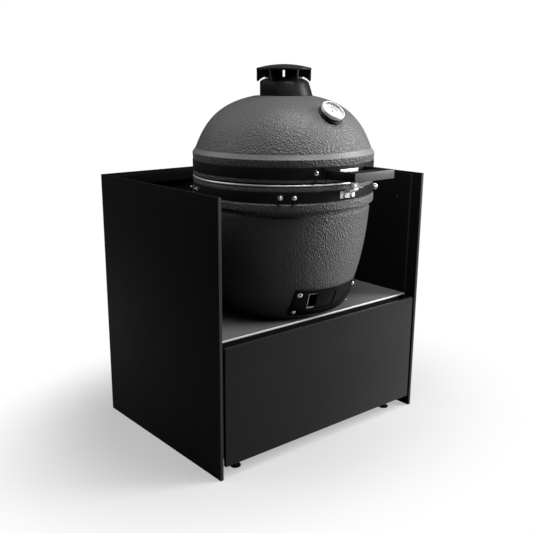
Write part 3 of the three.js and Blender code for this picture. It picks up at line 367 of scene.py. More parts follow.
def cut_flat(piece, point, normal):
    """Cuts away what lies beyond a plane and closes the cut."""
    edit(piece)
    bpy.ops.mesh.select_all(action="SELECT")
    bpy.ops.mesh.bisect(
        plane_co=point, plane_no=normal, use_fill=True, clear_outer=True, threshold=WELD
    )
    return welded(piece)


def keep_width(piece, half_width):
    """Keeps what lies within a half width, in millimetres, of the kamado's middle plane."""
    for side in (-1, 1):
        cut_flat(piece, (side * half_width * MM, 0, 0), (side, 0, 0))
    return piece


def joined(name, parts):
    """Joins finished parts into one piece."""
    alone(parts[0])
    for part in parts[1:]:
        part.select_set(True)
    bpy.ops.object.join()
    parts[0].name = parts[0].data.name = name
    return parts[0]


def set_in_place(piece, place):
    """Moves a piece by a matrix, which goes into its mesh."""
    piece.matrix_world = place
    alone(piece)
    bpy.ops.object.transform_apply(location=True, rotation=True, scale=True)
    return piece


def copies(name, pattern, places):
    """Copies a pattern to each place, removes it and joins the copies."""
    made = []
    for place in places:
        alone(pattern)
        bpy.ops.object.duplicate(linked=False)
        made.append(set_in_place(bpy.context.active_object, place))
    remove(pattern)
    return joined(name, made)


def freed_copy(name, node):
    """A merged copy of a solid, without the marks of the frame, ready to be reshaped."""
    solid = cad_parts[node]
    piece = bpy.data.objects.new(name, solid.data.copy())
    bpy.context.scene.collection.objects.link(piece)
    piece.matrix_world = solid.matrix_world
    piece.data.name = name
    edit(piece)
    bpy.ops.mesh.select_all(action="SELECT")
    bpy.ops.mesh.remove_doubles(threshold=WELD)
    bpy.ops.mesh.dissolve_limited(angle_limit=math.radians(0.5))
    bpy.ops.object.mode_set(mode="OBJECT")
    return piece


def finish(piece, body, slot, coat, *nodes, smooth=32):
    """Gives a piece its shading, finish and body, and hides the solids it stands for. Its slot is
    not used.
    """
    alone(piece)
    bpy.ops.object.shade_smooth_by_angle(angle=math.radians(smooth))
    piece.data.materials.clear()
    piece.data.materials.append(paint(coat))
    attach(piece, body)
    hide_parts(*nodes)
    return piece


def front_edge(piece, coat):
    """Gives a piece's narrow front faces a second, lighter finish: a painted highlight where the
    front light falls.
    """
    piece.data.materials.append(paint(coat))
    for face in piece.data.polygons:
        if face.normal.y < -0.8:
            face.material_index = 1


# Shader maths

class Wire:
    """A socket in a node tree that can be used in sums."""

    def __init__(self, nodes, socket):
        self.nodes = nodes
        self.socket = socket

    def sum_of(self, operation, first, second):
        return self.nodes.node(
            "ShaderNodeMath", {"operation": operation}, {0: first, 1: second}
        )

    def __add__(self, other):
        return self.sum_of("ADD", self, other)

    def __radd__(self, other):
        return self.sum_of("ADD", other, self)

    def __sub__(self, other):
        return self.sum_of("SUBTRACT", self, other)

    def __rsub__(self, other):
        return self.sum_of("SUBTRACT", other, self)

    def __mul__(self, other):
        return self.sum_of("MULTIPLY", self, other)

    def __rmul__(self, other):
        return self.sum_of("MULTIPLY", other, self)


class Nodes:
    """A node tree, of a material or of the world, and its short ways to add nodes."""

    def __init__(self, tree):
        self.tree = tree

    def node(self, kind, settings=(), inputs=(), output=0):
        """Adds a node: its settings first, then the values or links of its sockets."""
        made = self.tree.nodes.new(kind)
        for setting, value in dict(settings).items():
            if setting != "stops":
                setattr(made, setting, value)
                continue
            ramp = made.color_ramp
            while len(ramp.elements) < len(value):
                ramp.elements.new(1)
            for element, (position, tone) in zip(ramp.elements, value):
                element.position = position
                element.color = (tone, tone, tone, 1)
        for socket, value in dict(inputs).items():
            self.feed(made.inputs[socket], value)
        return Wire(self, made.outputs[output])

    def feed(self, socket, value):
        if isinstance(value, Wire):
            self.tree.links.new(value.socket, socket)
        else:
            socket.default_value = value

    def largest(self, first, second):
        return self.node("ShaderNodeMath", {"operation": "MAXIMUM"}, {0: first, 1: second})

    def show_mix(self, share, first, second, output):
        """Sends a mix of two shaders to an output node."""
        mixed = self.node("ShaderNodeMixShader", (), {0: share, 1: first, 2: second})
        self.feed(output.inputs["Surface"], mixed)

    def white_rays(self, seen, mirrored):
        """How much of a white the camera's rays and the mirrored rays should find."""
        rays = self.tree.nodes.new("ShaderNodeLightPath").outputs
        camera, glossy, through = (
            Wire(self, rays[kind])
            for kind in ("Is Camera Ray", "Is Glossy Ray", "Is Transmission Ray")
        )
        return self.largest(seen * self.largest(camera, through), mirrored * glossy)


class Recipe(Nodes):
    """A procedural material that reads Object coordinates."""

    def __init__(self, name, **uniform):
        self.material = bpy.data.materials.new(name)
        self.material.use_nodes = True
        super().__init__(self.material.node_tree)
        self.shader = self.tree.nodes["Principled BSDF"]
        self.place = self.node("ShaderNodeTexCoord", output="Object")
        for socket, value in uniform.items():
            self.shader.inputs[socket.replace("_", " ")].default_value = value

    def surface(self, **sockets):
        for socket, value in sockets.items():
            self.feed(self.shader.inputs[socket.replace("_", " ")], value)
        return self.material

    def stretched(self, scale):
        """The coordinates, scaled by different amounts along X, Y and Z."""
        return self.node("ShaderNodeMapping", (), {"Vector": self.place, "Scale": scale})

    def noise(self, scale, detail=3, roughness=0.55, at=None):
        """Cloudy noise with this many features to a metre, from 0 to 1."""
        return self.node("ShaderNodeTexNoise", (), {
            "Vector": at or self.place,
            "Scale": scale,
            "Detail": detail,
            "Roughness": roughness,
        })

    def cells(self, scale, at=None):
        """Rounded cells with this many to a metre: 0 in their middles."""
        return self.node("ShaderNodeTexVoronoi", {"feature": "SMOOTH_F1"}, {
            "Vector": at or self.place,
            "Scale": scale,
            "Smoothness": 0.6,
        }, "Distance")

    def smooth_step(self, value, low, high, at_low, at_high):
        """A factor that changes smoothly while a value goes from low to high."""
        return self.node("ShaderNodeMapRange", {"interpolation_type": "SMOOTHSTEP"}, {
            "Value": value,
            "From Min": low, "From Max": high, "To Min": at_low, "To Max": at_high,
        })

    def by_height(self, low, high, at_low, at_high):
        """A factor that changes smoothly with the height above the floor, in metres."""
        height = self.node("ShaderNodeSeparateXYZ", (), {0: self.place}, "Z")
        return self.smooth_step(height, low, high, at_low, at_high)

    def warped(self, amount, scale):
        """Coordinates pushed about by noise, so that a pattern wanders."""
        push = self.node(
            "ShaderNodeTexNoise", (), {"Vector": self.place, "Scale": scale}, "Color"
        )
        centred = self.node(
            "ShaderNodeVectorMath", {"operation": "SUBTRACT"}, {0: push, 1: (0.5, 0.5, 0.5)}
        )
        scaled = self.node(
            "ShaderNodeVectorMath", {"operation": "SCALE"}, {0: centred, "Scale": 2 * amount}
        )
        return self.node(
            "ShaderNodeVectorMath", {"operation": "ADD"}, {0: self.place, 1: scaled}
        )

    def ramp(self, value, *stops):
        return self.node("ShaderNodeValToRGB", {"stops": stops}, {"Fac": value})

    def tint(self, share, first, second):
        """A colour between two, by a share. Each is a plain colour or another node's."""
        first, second = (
            colour if isinstance(colour, Wire) else (*colour, 1) for colour in (first, second)
        )
        return self.node(
            "ShaderNodeMix", {"data_type": "RGBA"}, {0: share, 6: first, 7: second}, 2
        )

    def bump(self, height, depth, strength=1.0):
        """Turns heights from 0 to 1 into a relief of a depth in metres."""
        return self.node(
            "ShaderNodeBump", (), {"Height": height, "Distance": depth, "Strength": strength}
        )


def shade(colour, amount):
    """A colour made darker or lighter."""
    return tuple(min(1, part * amount) for part in colour)


# Finishes

def board_finish(name, colour, gloss, specular):
    """Melamine board: a fine pore, faint handling marks and little shine."""
    recipe = Recipe(name, Specular_IOR_Level=specular)
    cloud = recipe.noise(scale=5, detail=4)
    pore = recipe.noise(scale=1400, detail=2)
    return recipe.surface(
        Base_Color=recipe.tint(cloud, shade(colour, 0.92), shade(colour, 1.08)),
        Roughness=gloss + 0.08 * (cloud - 0.5),
        Normal=recipe.bump(pore, depth=0.00006, strength=0.5),
    )


def ceramic_finish(name, colour, dimple, depth, calm=None, shoulder_highlight=None, soot_and_shade=None):
    """Glazed ceramic with a leathery, dimpled skin.

    calm: heights between which the skin grows smoother, with its two factors.
    shoulder: heights of a rounded edge, where the skin is smooth and the glaze is painted lighter
    as a highlight.
    soot: heights between which the glaze is painted darker towards the neck, painted shade.
    """
    recipe = Recipe(name, Specular_IOR_Level=0.22)
    wander = recipe.noise(0.5 / dimple, detail=2)
    pits = recipe.cells(1 / dimple, recipe.warped(0.8 * dimple, 0.7 / dimple))
    folds = recipe.noise(
        0.9 / dimple, detail=1, roughness=0.4, at=recipe.warped(0.5 * dimple, 1.1 / dimple)
    )
    grain = recipe.noise(3.4 / dimple, detail=2)
    skin = pits * 1.2 + folds * 0.7 + grain * 0.05
    # The glaze's tone varies at random and is darker in the middles of the dimples: painted shade
    # in the hollows
    tone = recipe.ramp(pits * 0.5 + wander * 0.5, (0.25, 0.0), (0.75, 1.0))
    glaze = recipe.tint(tone, shade(colour, 0.86), shade(colour, 1.1))
    if calm:
        skin = skin * recipe.by_height(*calm)
    if shoulder_highlight:
        low, high = shoulder_highlight
        below = recipe.by_height(low - 2 * MM, low + MM, 1.0, 0.0)
        above = recipe.by_height(high - 2 * MM, high + 6 * MM, 0.0, 1.0)
        apart = recipe.largest(below, above)
        skin = skin * (0.25 + 0.75 * apart)
        # Painted highlight: the glaze is made lighter on the rounded shoulder, where light from
        # above falls
        glaze = recipe.tint(apart, shade(colour, 1.6), glaze)
    if soot_and_shade:
        low, high = soot_and_shade
        # Painted shade: the glaze grows darker towards the neck at the top of the lid
        glaze = recipe.tint(recipe.by_height(low, high, 0.0, 0.45), glaze, shade(colour, 0.45))
    return recipe.surface(
        Base_Color=glaze,
        Roughness=0.34 + 0.1 * grain,
        Normal=recipe.bump(skin, depth),
    )


def metal_finish(name, colour, gloss, brush=(1, 1, 1), marks=500, metal=1.0):
    """Bright metal with fine brush lines along the axis that isn't stretched."""
    recipe = Recipe(name, Metallic=metal)
    lines = recipe.noise(marks, at=recipe.stretched(brush))
    stain = recipe.noise(scale=18)
    return recipe.surface(
        Base_Color=recipe.tint(stain, shade(colour, 0.9), colour),
        Roughness=gloss + 0.16 * (lines - 0.5) + 0.1 * (stain - 0.5),
        Normal=recipe.bump(lines, depth=0.00002, strength=0.6),
    )


def coated_finish(name, colour, gloss, specular, peel=900, depth=0.00008):
    """Powder coat: an orange-peel skin with a soft shine."""
    recipe = Recipe(name, Specular_IOR_Level=specular)
    skin = recipe.noise(peel, detail=2)
    cloud = recipe.noise(scale=9)
    return recipe.surface(
        Base_Color=recipe.tint(cloud, shade(colour, 0.85), shade(colour, 1.15)),
        Roughness=gloss + 0.1 * (cloud - 0.5),
        Normal=recipe.bump(skin, depth, strength=0.6),
    )


def cast_finish(name, colour):
    """Cast iron: a sandy skin with darker hollows."""
    recipe = Recipe(name, Specular_IOR_Level=0.3)
    sand = recipe.noise(scale=300, detail=4, roughness=0.65)
    lumps = recipe.cells(scale=90)
    return recipe.surface(
        Base_Color=recipe.tint(sand, shade(colour, 0.6), shade(colour, 1.35)),
        Roughness=0.42 + 0.2 * (sand - 0.5),
        Normal=recipe.bump(sand * 0.7 + lumps * 0.3, depth=0.0005, strength=0.7),
    )


def clay_finish(name, colour):
    """Fired clay: chalky, with pores and soot-grey clouds."""
    recipe = Recipe(name, Specular_IOR_Level=0.1)
    pores = recipe.noise(scale=260, detail=5, roughness=0.7)
    soot_and_shade = recipe.ramp(recipe.noise(scale=7, detail=4), (0.35, 0), (0.7, 1))
    return recipe.surface(
        Base_Color=recipe.tint(soot_and_shade, shade(colour, 0.62), colour),
        Roughness=0.9,
        Normal=recipe.bump(pores, depth=0.0007, strength=0.7),
    )


def felt_finish(name, colour):
    """Pressed felt: short fibres that lie round the joint."""
    recipe = Recipe(name, Specular_IOR_Level=0.1, Roughness=1.0, Sheen_Weight=0.1)
    fibres = recipe.noise(
        scale=1500, detail=4, roughness=0.7, at=recipe.stretched((1, 1, 0.35))
    )
    tone = fibres * 0.6 + recipe.noise(scale=60) * 0.4
    return recipe.surface(
        Base_Color=recipe.tint(tone, shade(colour, 0.75), shade(colour, 1.1)),
        Normal=recipe.bump(fibres, depth=0.0004, strength=0.6),
    )


def braid_finish(name, colour, low, high):
    """Woven wire over felt, bright above two heights and painted nearly black below them: painted
    shade under its bright top.
    """
    recipe = Recipe(name, Specular_IOR_Level=0.3)
    weave = recipe.noise(scale=900, detail=2, at=recipe.stretched((1, 1, 0.5)))
    # Painted shade: below these heights the braid is nearly black and less metallic, so only its
    # top shows bright
    unshaded_top = recipe.by_height(low, high, 0, 1)
    return recipe.surface(
        Base_Color=recipe.tint(unshaded_top, shade(colour, 0.06), colour),
        Metallic=0.75 * unshaded_top,
        Roughness=0.36 + 0.2 * weave,
        Normal=recipe.bump(weave, depth=0.0003, strength=0.6),
    )


def lens_finish(name, colour):
    """A thin clear pane that shows what lies behind it and a faint gloss."""
    recipe = Recipe(name, Roughness=0.05, Specular_IOR_Level=0.5)
    smear = recipe.noise(scale=40)
    return recipe.surface(Base_Color=(*colour, 1), Alpha=0.06 + 0.04 * smear)


def finish_list(sizes):
    """Every finish by its name: its maker, its colour's name and what else the maker takes."""
    up = GRILL.z
    iron = dict(specular=0.06, peel=700, depth=0.00012)
    return {
        "black_board": (board_finish, "board", dict(gloss=0.5, specular=0.03)),
        # Painted highlight: a lighter copy of the board finish for the boards' front edges, where
        # the front light falls
        "board_edge": (board_finish, "board_edge", dict(gloss=0.45, specular=0.1)),
        "satin_board": (board_finish, "drawer", dict(gloss=0.36, specular=0.08)),
        "box_board": (board_finish, "drawer_box", dict(gloss=0.55, specular=0.2)),
        "shelf_board": (board_finish, "shelf", dict(gloss=0.45, specular=0.3)),
        "dial_white": (board_finish, "dial", dict(gloss=0.45, specular=0.3)),
        "dial_ink": (board_finish, "ink", dict(gloss=0.5, specular=0.2)),
        # Painted shade: the grey of the wide arc on the dial
        "dial_grey": (board_finish, "scale", dict(gloss=0.5, specular=0.2)),
        "dome_glaze": (ceramic_finish, "ceramic", dict(
            dimple=sizes.dimple,
            depth=sizes.dimple_depth,
            calm=(DOME_LOW.z, DOME_HIGH.z, 1.0, 0.3),
            shoulder_highlight=[up + height * MM for height in SHOULDER_HIGHLIGHT],
            soot_and_shade=[up + height * MM for height in NECK_SHADE],
        )),
        "body_glaze": (ceramic_finish, "ceramic", dict(
            dimple=sizes.dimple, depth=0.8 * sizes.dimple_depth
        )),
        "sandy_iron": (coated_finish, "iron", dict(iron, gloss=0.32)),
        # Painted highlight: a lighter copy of the neck's iron, so that the cap's roof shows
        # brighter in the light from above
        "cap_iron": (coated_finish, "cap", dict(iron, gloss=0.34)),
        "coated_steel": (coated_finish, "steel", dict(gloss=0.4, specular=0.08)),
        "frame_steel": (coated_finish, "vent", dict(gloss=0.42, specular=0.035)),
        "handle_black": (coated_finish, "handle", dict(gloss=0.45, specular=0.06, peel=700)),
        # Painted highlight: a lighter copy of the handle's finish for the bar's front face, where
        # the front light falls
        "handle_grey": (coated_finish, "handle_face", dict(gloss=0.4, specular=0.15, peel=700)),
        "black_rubber": (coated_finish, "rubber", dict(gloss=0.55, specular=0.2, peel=600)),
        "needle_red": (coated_finish, "needle", dict(gloss=0.4, specular=0.3)),
        "grate_iron": (cast_finish, "grate", {}),
        "fired_clay": (clay_finish, "clay", {}),
        "dark_felt": (felt_finish, "dark_felt", {}),
        "rim_braid": (braid_finish, "pale_felt", dict(
            low=up + BRAID_BRIGHT[0] * MM, high=up + BRAID_BRIGHT[1] * MM
        )),
        "bright_strip": (metal_finish, "trim", dict(
            gloss=0.42, brush=(0.02, 1, 1), marks=900, metal=0.3
        )),
        "stainless_steel": (metal_finish, "bright", dict(gloss=0.24)),
        "satin_steel": (metal_finish, "bright", dict(gloss=0.4, metal=0.4)),
        "lever_steel": (metal_finish, "zinc", dict(gloss=0.34, metal=0.7)),
        "polished_heads": (metal_finish, "bolts", dict(gloss=0.16, marks=900)),
        "zinc_steel": (metal_finish, "zinc", dict(gloss=0.36, brush=(1, 0.02, 1), marks=700)),
        "spring_wire": (metal_finish, "zinc", dict(gloss=0.3)),
        "thin_lens": (lens_finish, "glass", {}),
    }


def paint(name):
    """A finish by its name, made when it is first asked for."""
    made = bpy.data.materials.get(name)
    if made:
        return made
    scene = bpy.context.scene
    maker, colour, options = finish_list(scene.grill_table_sizes)[name]
    return maker(name, getattr(scene.grill_table_colours, colour), **options)


# Fasteners

WASHER_LOW, WASHER_HIGH = -0.6, 1.6


def fasteners(name, pattern, places, body, node):
    """Copies a bolt or nut to each place on the part that it holds."""
    finish(copies(name, pattern, places), body, "stainless", "polished_heads", node)


def dome_bolt():
    """A domed head on a washer."""
    sizes = bpy.context.scene.grill_table_sizes
    head, washer = sizes.bolt_radius / MM, sizes.washer_radius / MM
    side_low, side_high, crown_high = 1.9, 3.1, 6.45
    foot = eased([
        (0, WASHER_LOW), (washer, WASHER_LOW), (washer, WASHER_HIGH), (head + 0.9, WASHER_HIGH),
        (head, side_low), (head, side_high),
    ], 0.5)
    dome = arc((0, 1.2), head, 28, 90, 8)
    crown = [(radius, side_high + (height - dome[0][1]) * 1.02) for radius, height in dome]
    return turned("bolt_pattern", foot + crown[1:-1] + [(0, crown_high)], 28, ORIGIN)


def cap_nut():
    """A cap nut on a washer."""
    sizes = bpy.context.scene.grill_table_sizes
    radius, washer = sizes.bolt_radius / MM, sizes.washer_radius / MM
    dome_low = 6.5
    disc = ring_section(0, washer, WASHER_LOW, WASHER_HIGH)
    base = turned("nut_washer", disc, 28, ORIGIN, ease=0.4)
    hexagon = bar("nut_hexagon", radius + 1.2, 5.4, mm(0, 0, 4.2), sides=6)
    ease_edges(hexagon, 0.0007, 2)
    crown = arc((0, dome_low), radius, 0, 90, 8)
    dome = turned(
        "nut_dome", [(0, 5), (radius, 5), *crown[:-1], (0, dome_low + radius)], 24, ORIGIN
    )
    return joined("nut_pattern", [base, hexagon, dome])


# Cabinet

def boxed(name, node, ease):
    """A block in the place of a box-shaped solid, with its edges rounded."""
    return ease_edges(block(name, *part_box(node)), ease)


class GRILLTABLE_OT_boards(bpy.types.Operator):
    """Builds the side panels, their linings, the back, its rail and the floor of the cabinet"""

    bl_idname = "grilltable.boards"
    bl_label = "Cabinet Boards"

    BOARDS = (
        "left_side_panel", "right_side_panel", "back_panel", "back_top_rail", "floor_panel",
        "shelf_support",
    )
    SCREW_HEAD = [(0, 0.9), (1.4, 0.9), (2.1, 2.45), (3.4, 2.2), (5, 0.3), (5, -0.3), (0, -0.3)]

    def execute(self, context):
        sizes = context.scene.grill_table_sizes
        for node in self.BOARDS:
            board = boxed(f"{node}_board", node, sizes.board_ease)
            finish(board, "cabinet", "black_panel", "black_board", node)
            if node.endswith("side_panel"):
                # Painted highlight on the panel's front edge
                front_edge(board, "board_edge")
        for side_name, side in (("left", -1), ("right", 1)):
            self.lining(sizes, side_name, side)
        return {"FINISHED"}

    def lining(self, sizes, side_name, side):
        """A lining board with its two screws."""
        node = f"{side_name}_inner_wall"
        low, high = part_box(node)
        face = Vector((sizes.screw_rise, 0, 0))
        if side < 0:
            high -= face
        else:
            low += face
        board = ease_edges(block(f"{node}_board", low, high), sizes.board_ease)
        finish(board, "cabinet", "black_panel", "black_board", node)
        # Painted highlight on the lining's front edge
        front_edge(board, "board_edge")
        head = turned("screw_pattern", self.SCREW_HEAD, 24, ORIGIN, ease=0.4)
        wall_x = high.x if side < 0 else low.x
        places = [
            Matrix.Translation((wall_x, y, sizes.screw_height)) @ turn(-90 * side, "Y")
            for y in (low.y + sizes.screw_inset, high.y - sizes.screw_inset)
        ]
        screws = copies(f"{side_name}_lining_screws", head, places)
        finish(screws, "cabinet", "black_panel", "black_rubber", node)


class GRILLTABLE_OT_shelf(bpy.types.Operator):
    """Builds the shelf that carries the kamado and the bright strip on its front edge"""

    bl_idname = "grilltable.shelf"
    bl_label = "Shelf"

    def execute(self, context):
        sizes = context.scene.grill_table_sizes
        shelf = boxed("shelf_board", "shelf", sizes.board_ease / 2)
        finish(shelf, "cabinet", "grey_shelf", "shelf_board", "shelf")
        trim = boxed("shelf_strip", "shelf_edge_trim", 0.0006)
        finish(trim, "cabinet", "bright_trim", "bright_strip", "shelf_edge_trim")
        return {"FINISHED"}


class GRILLTABLE_OT_feet(bpy.types.Operator):
    """Builds the four levelling feet: a rubber pad, a threaded stem and its nut"""

    bl_idname = "grilltable.feet"
    bl_label = "Levelling Feet"

    PAD = [(0, 0), (17.8, 0), (18.8, 1), (18.8, 3.6), (14, 5.2), (9, 6.4), (7.5, 8.4)]
    THREAD_CORE, THREAD_CREST, THREAD_PITCH, THREAD_LOW = 4.4, 4.95, 1.5, 9.0
    NUT_RADIUS, NUT_DEPTH = 9, 5.6
    STEM_DROP, NUT_DROP = 6, 3

    def execute(self, context):
        for side in ("left", "right"):
            for end in ("front", "rear"):
                self.foot(f"{side}_{end}_foot")
        return {"FINISHED"}

    def foot(self, node):
        low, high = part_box(node)
        centre = Vector(((low.x + high.x) / 2, (low.y + high.y) / 2, low.z))
        height = (high.z - low.z) / MM
        top = height - self.STEM_DROP
        thread = []
        level = self.THREAD_LOW
        while level < top - 1:
            thread.append((self.THREAD_CORE, level))
            thread.append((self.THREAD_CREST, level + self.THREAD_PITCH / 2))
            level += self.THREAD_PITCH
        end = [(self.THREAD_CORE, top), (0, top)]
        stem = turned("foot_stem", eased(self.PAD, 0.6) + thread + end, 24, centre)
        seat = centre + mm(0, 0, height - self.NUT_DROP)
        nut = bar("foot_nut", self.NUT_RADIUS, self.NUT_DEPTH, seat, sides=6)
        foot = joined(f"{node}_screw", [stem, ease_edges(nut, 0.0006, 2)])
        finish(foot, "cabinet", "black_plastic", "black_rubber", node)


class GRILLTABLE_OT_drawer(bpy.types.Operator):
    """Builds the drawer's front and box"""

    bl_idname = "grilltable.drawer"
    bl_label = "Drawer"

    def execute(self, context):
        sizes = context.scene.grill_table_sizes
        front = boxed("drawer_face", "drawer_front", sizes.front_ease)
        finish(front, "drawer", "drawer_front", "satin_board", "drawer_front")
        for node in ("left_drawer_side", "right_drawer_side", "drawer_back", "drawer_bottom"):
            board = boxed(f"{node}_board", node, sizes.board_ease)
            finish(board, "drawer", "drawer_box", "box_board", node)
        return {"FINISHED"}


class GRILLTABLE_OT_runners(bpy.types.Operator):
    """Rounds the folds of the drawer's runners"""

    bl_idname = "grilltable.runners"
    bl_label = "Drawer Runners"

    MEMBERS = (("fixed", "cabinet"), ("middle", "middle_runners"), ("drawer", "drawer"))

    def execute(self, context):
        sizes = context.scene.grill_table_sizes
        for side in ("left", "right"):
            for member, body in self.MEMBERS:
                node = f"{side}_{member}_runner"
                rail = ease_edges(freed_copy(f"{node}_rail", node), sizes.sheet_ease)
                finish(rail, body, "runner_steel", "zinc_steel", node)
        return {"FINISHED"}


# Base of the kamado

def wedge(name, span, section):
    """A cutting tool: a ring's part between two angles in degrees."""
    return ring(name, section, 16, span=span)


class GRILLTABLE_OT_base(bpy.types.Operator):
    """Builds the kamado's ceramic base with its draft hole, and the felt on its rim"""

    bl_idname = "grilltable.base"
    bl_label = "Ceramic Base"

    FOOT = [(0, 8), (160, 8), (160, 0)]
    BEAD_AND_RIM = [
        (295.5, 365), (295.5, 378.6), (311.8, 381.2), (311.8, 402.6), (BAND_SEAT, 408.4),
        (BAND_SEAT, 443.3), (RIM, 443.3), (RIM, 455.5), (RIM_INNER, 455.5),
    ]
    FELT = (RIM_INNER, RIM, 455.8, 464.7)

    def execute(self, context):
        sizes = context.scene.grill_table_sizes
        outside = self.FOOT + bezier(BODY_CURVE, 40)[:-1] + self.BEAD_AND_RIM
        inside = bezier(INNER_CURVE, 20)[::-1] + [(0, 40)]
        shell = turned(
            "ceramic_base", outside + inside, sizes.turning_steps, ease=sizes.ceramic_ease / MM
        )
        carve(shell, wedge("draft_hole", (-23.2, 4.5), (190, 330, 39.5, 103.5)))
        finish(shell, "cabinet", "glazed_body", "body_glaze", "base_shell")
        felt = ring("base_felt", self.FELT, sizes.turning_steps, ease=2.6)
        finish(felt, "cabinet", "pale_felt", "rim_braid", "base_gasket")
        return {"FINISHED"}


class GRILLTABLE_OT_fire(bpy.types.Operator):
    """Builds the firebox, the fire ring and the two cast grates inside the base"""

    bl_idname = "grilltable.fire"
    bl_label = "Fire Parts"

    BOX = [
        (126, 40.3), (165, 40.3), (204.5, 109.6), (244, 250.3), (224, 250.3), (184.5, 109.6),
        (150, 96.3), (150, 88.3), (126, 88.3),
    ]
    RING = (234, 254, 250.6, 411.6)
    NOTCH = ((-45, -250, 20), (45, 0, 74.3))
    AIR_HOLES = 6

    def execute(self, context):
        box = turned("clay_firebox", self.BOX, 96, loop=True, ease=3)
        notch = block("ash_notch", *(GRILL + mm(*corner) for corner in self.NOTCH))
        holes = []
        for hole in range(self.AIR_HOLES):
            tool = bar("air_hole", 9, 140, mm(0, 0, 195))
            angle = 360 / self.AIR_HOLES * (hole + 0.5)
            holes.append(set_in_place(tool, outwards(angle, 0, 150.3)))
        carve(box, notch, *holes)
        finish(box, "cabinet", "fire_clay", "fired_clay", "firebox")
        collar = ring("clay_ring", self.RING, 96, ease=4)
        finish(collar, "cabinet", "fire_clay", "fired_clay", "fire_ring")
        self.grate("cooking_grate", radius=262, rim=14, bar_width=16, slot=12, pitch=22)
        self.grate("charcoal_grate", radius=147, rim=16, bar_width=14, slot=11, pitch=28)
        return {"FINISHED"}

    def grate(self, node, radius, rim, bar_width, slot, pitch):
        """A round cast plate with a rim, a middle bar and rows of slots."""
        low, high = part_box(node)
        bottom, top = (low.z - GRILL.z) / MM, (high.z - GRILL.z) / MM
        disc = ring_section(0, radius, bottom, top)
        plate = turned(f"{node}_casting", disc, 96, ease=1.5)
        reach = radius - rim
        tools = []
        count = int((reach - slot / 2) / pitch)
        for row in range(-count, count + 1):
            middle = row * pitch
            half = math.sqrt(reach ** 2 - (abs(middle) + slot / 2) ** 2)
            if half < bar_width:
                continue
            for side in (-1, 1):
                near, far = sorted((side * bar_width / 2, side * half))
                tools.append(block(
                    "slot_tool",
                    GRILL + mm(middle - slot / 2, near, bottom - 9),
                    GRILL + mm(middle + slot / 2, far, top + 9),
                ))
        carve(plate, joined("slot_tools", tools))
        ease_edges(plate, 0.0012, 2)
        finish(plate, "cabinet", "cast_iron", "grate_iron", node)


# Bands, hinge, draft door and latch

def clamp_band(sizes, name, body, heights):
    """A split sheet band round the kamado, open at the back under the hinge plate."""
    half_gap = spread_at(7, BAND_FACE)
    band = ring(
        f"{name}_clamp_band", (BAND_SEAT + SEAT_GAP, BAND_FACE, *heights),
        sizes.turning_steps, span=(-180 + half_gap, 180 - half_gap), ease=1.1,
    )
    finish(band, body, "black_steel", "coated_steel", f"{name}_band")


def band_plate(name, inner, sheet, half_width, low, high):
    """A curved plate on the front of a band, kept between two upright planes."""
    reach = spread_at(half_width + 12, inner)
    section = (inner, inner + sheet, low, high)
    plate = ring(name, section, 28, span=(-reach, reach), ease=0.8)
    return keep_width(plate, half_width)


def turned_to_back(piece):
    """Turns a piece half round the kamado, from its front to its back."""
    to_axis = Matrix.Translation(-GRILL)
    return set_in_place(piece, to_axis.inverted() @ turn(180, "Z") @ to_axis)


class GRILLTABLE_OT_lower_band(bpy.types.Operator):
    """Builds the band that clamps the base, with its nuts and its clamp screw"""

    bl_idname = "grilltable.lower_band"
    bl_label = "Lower Band"

    NUT_ANGLES = (-34.5, -42.6, -106, -115.5, 106, 115.5)
    CLAMP_ANGLE, CLAMP_Z, CLAMP_REACH = 50, 420.5, 9.5
    LUG = (1.6, 18, 9)
    SCREW = [
        (0, -14), (4, -14), (4, -5), (9, -5), (9, -1), (10.4, 0), (10.2, 1.6), (8.4, 3.6),
        (6, 3.6), (6, 6), (5.2, 7.8), (3.4, 9.2), (0, 9.8),
    ]
    SEAL = (6.1, 8, 3.2, 4.4)

    def execute(self, context):
        clamp_band(context.scene.grill_table_sizes, "lower", "cabinet", LOWER_BAND)
        places = bolt_places(self.NUT_ANGLES, BAND_FACE, sum(LOWER_BAND) / 2)
        fasteners("lower_band_nuts", cap_nut(), places, "cabinet", "lower_band")
        self.clamp_screw()
        return {"FINISHED"}

    def clamp_screw(self):
        """A lug on the band with the screw that pulls the band tight, seen end on."""
        aside = Matrix.Translation(GRILL) @ turn(self.CLAMP_ANGLE, "Z")
        half, reach, rise = self.LUG
        lug = block(
            "band_lug",
            mm(-half, -BAND_FACE - reach, self.CLAMP_Z - rise),
            mm(half, -BAND_SEAT - 1, self.CLAMP_Z + rise),
        )
        set_in_place(ease_edges(lug, 0.0006, 2), aside)
        finish(lug, "cabinet", "black_steel", "coated_steel", "lower_band")
        seat = Matrix.Translation(mm(0, -BAND_FACE - self.CLAMP_REACH, self.CLAMP_Z))
        place = aside @ seat @ turn(-90, "Y")
        screw = turned("band_screw", self.SCREW, 32, ORIGIN, ease=0.4)
        finish(set_in_place(screw, place), "cabinet", "stainless", "satin_steel", "lower_band")
        seal = ring("band_seal", self.SEAL, 32, ORIGIN, ease=0.4)
        finish(set_in_place(seal, place), "cabinet", "black_plastic", "black_rubber", "lower_band")


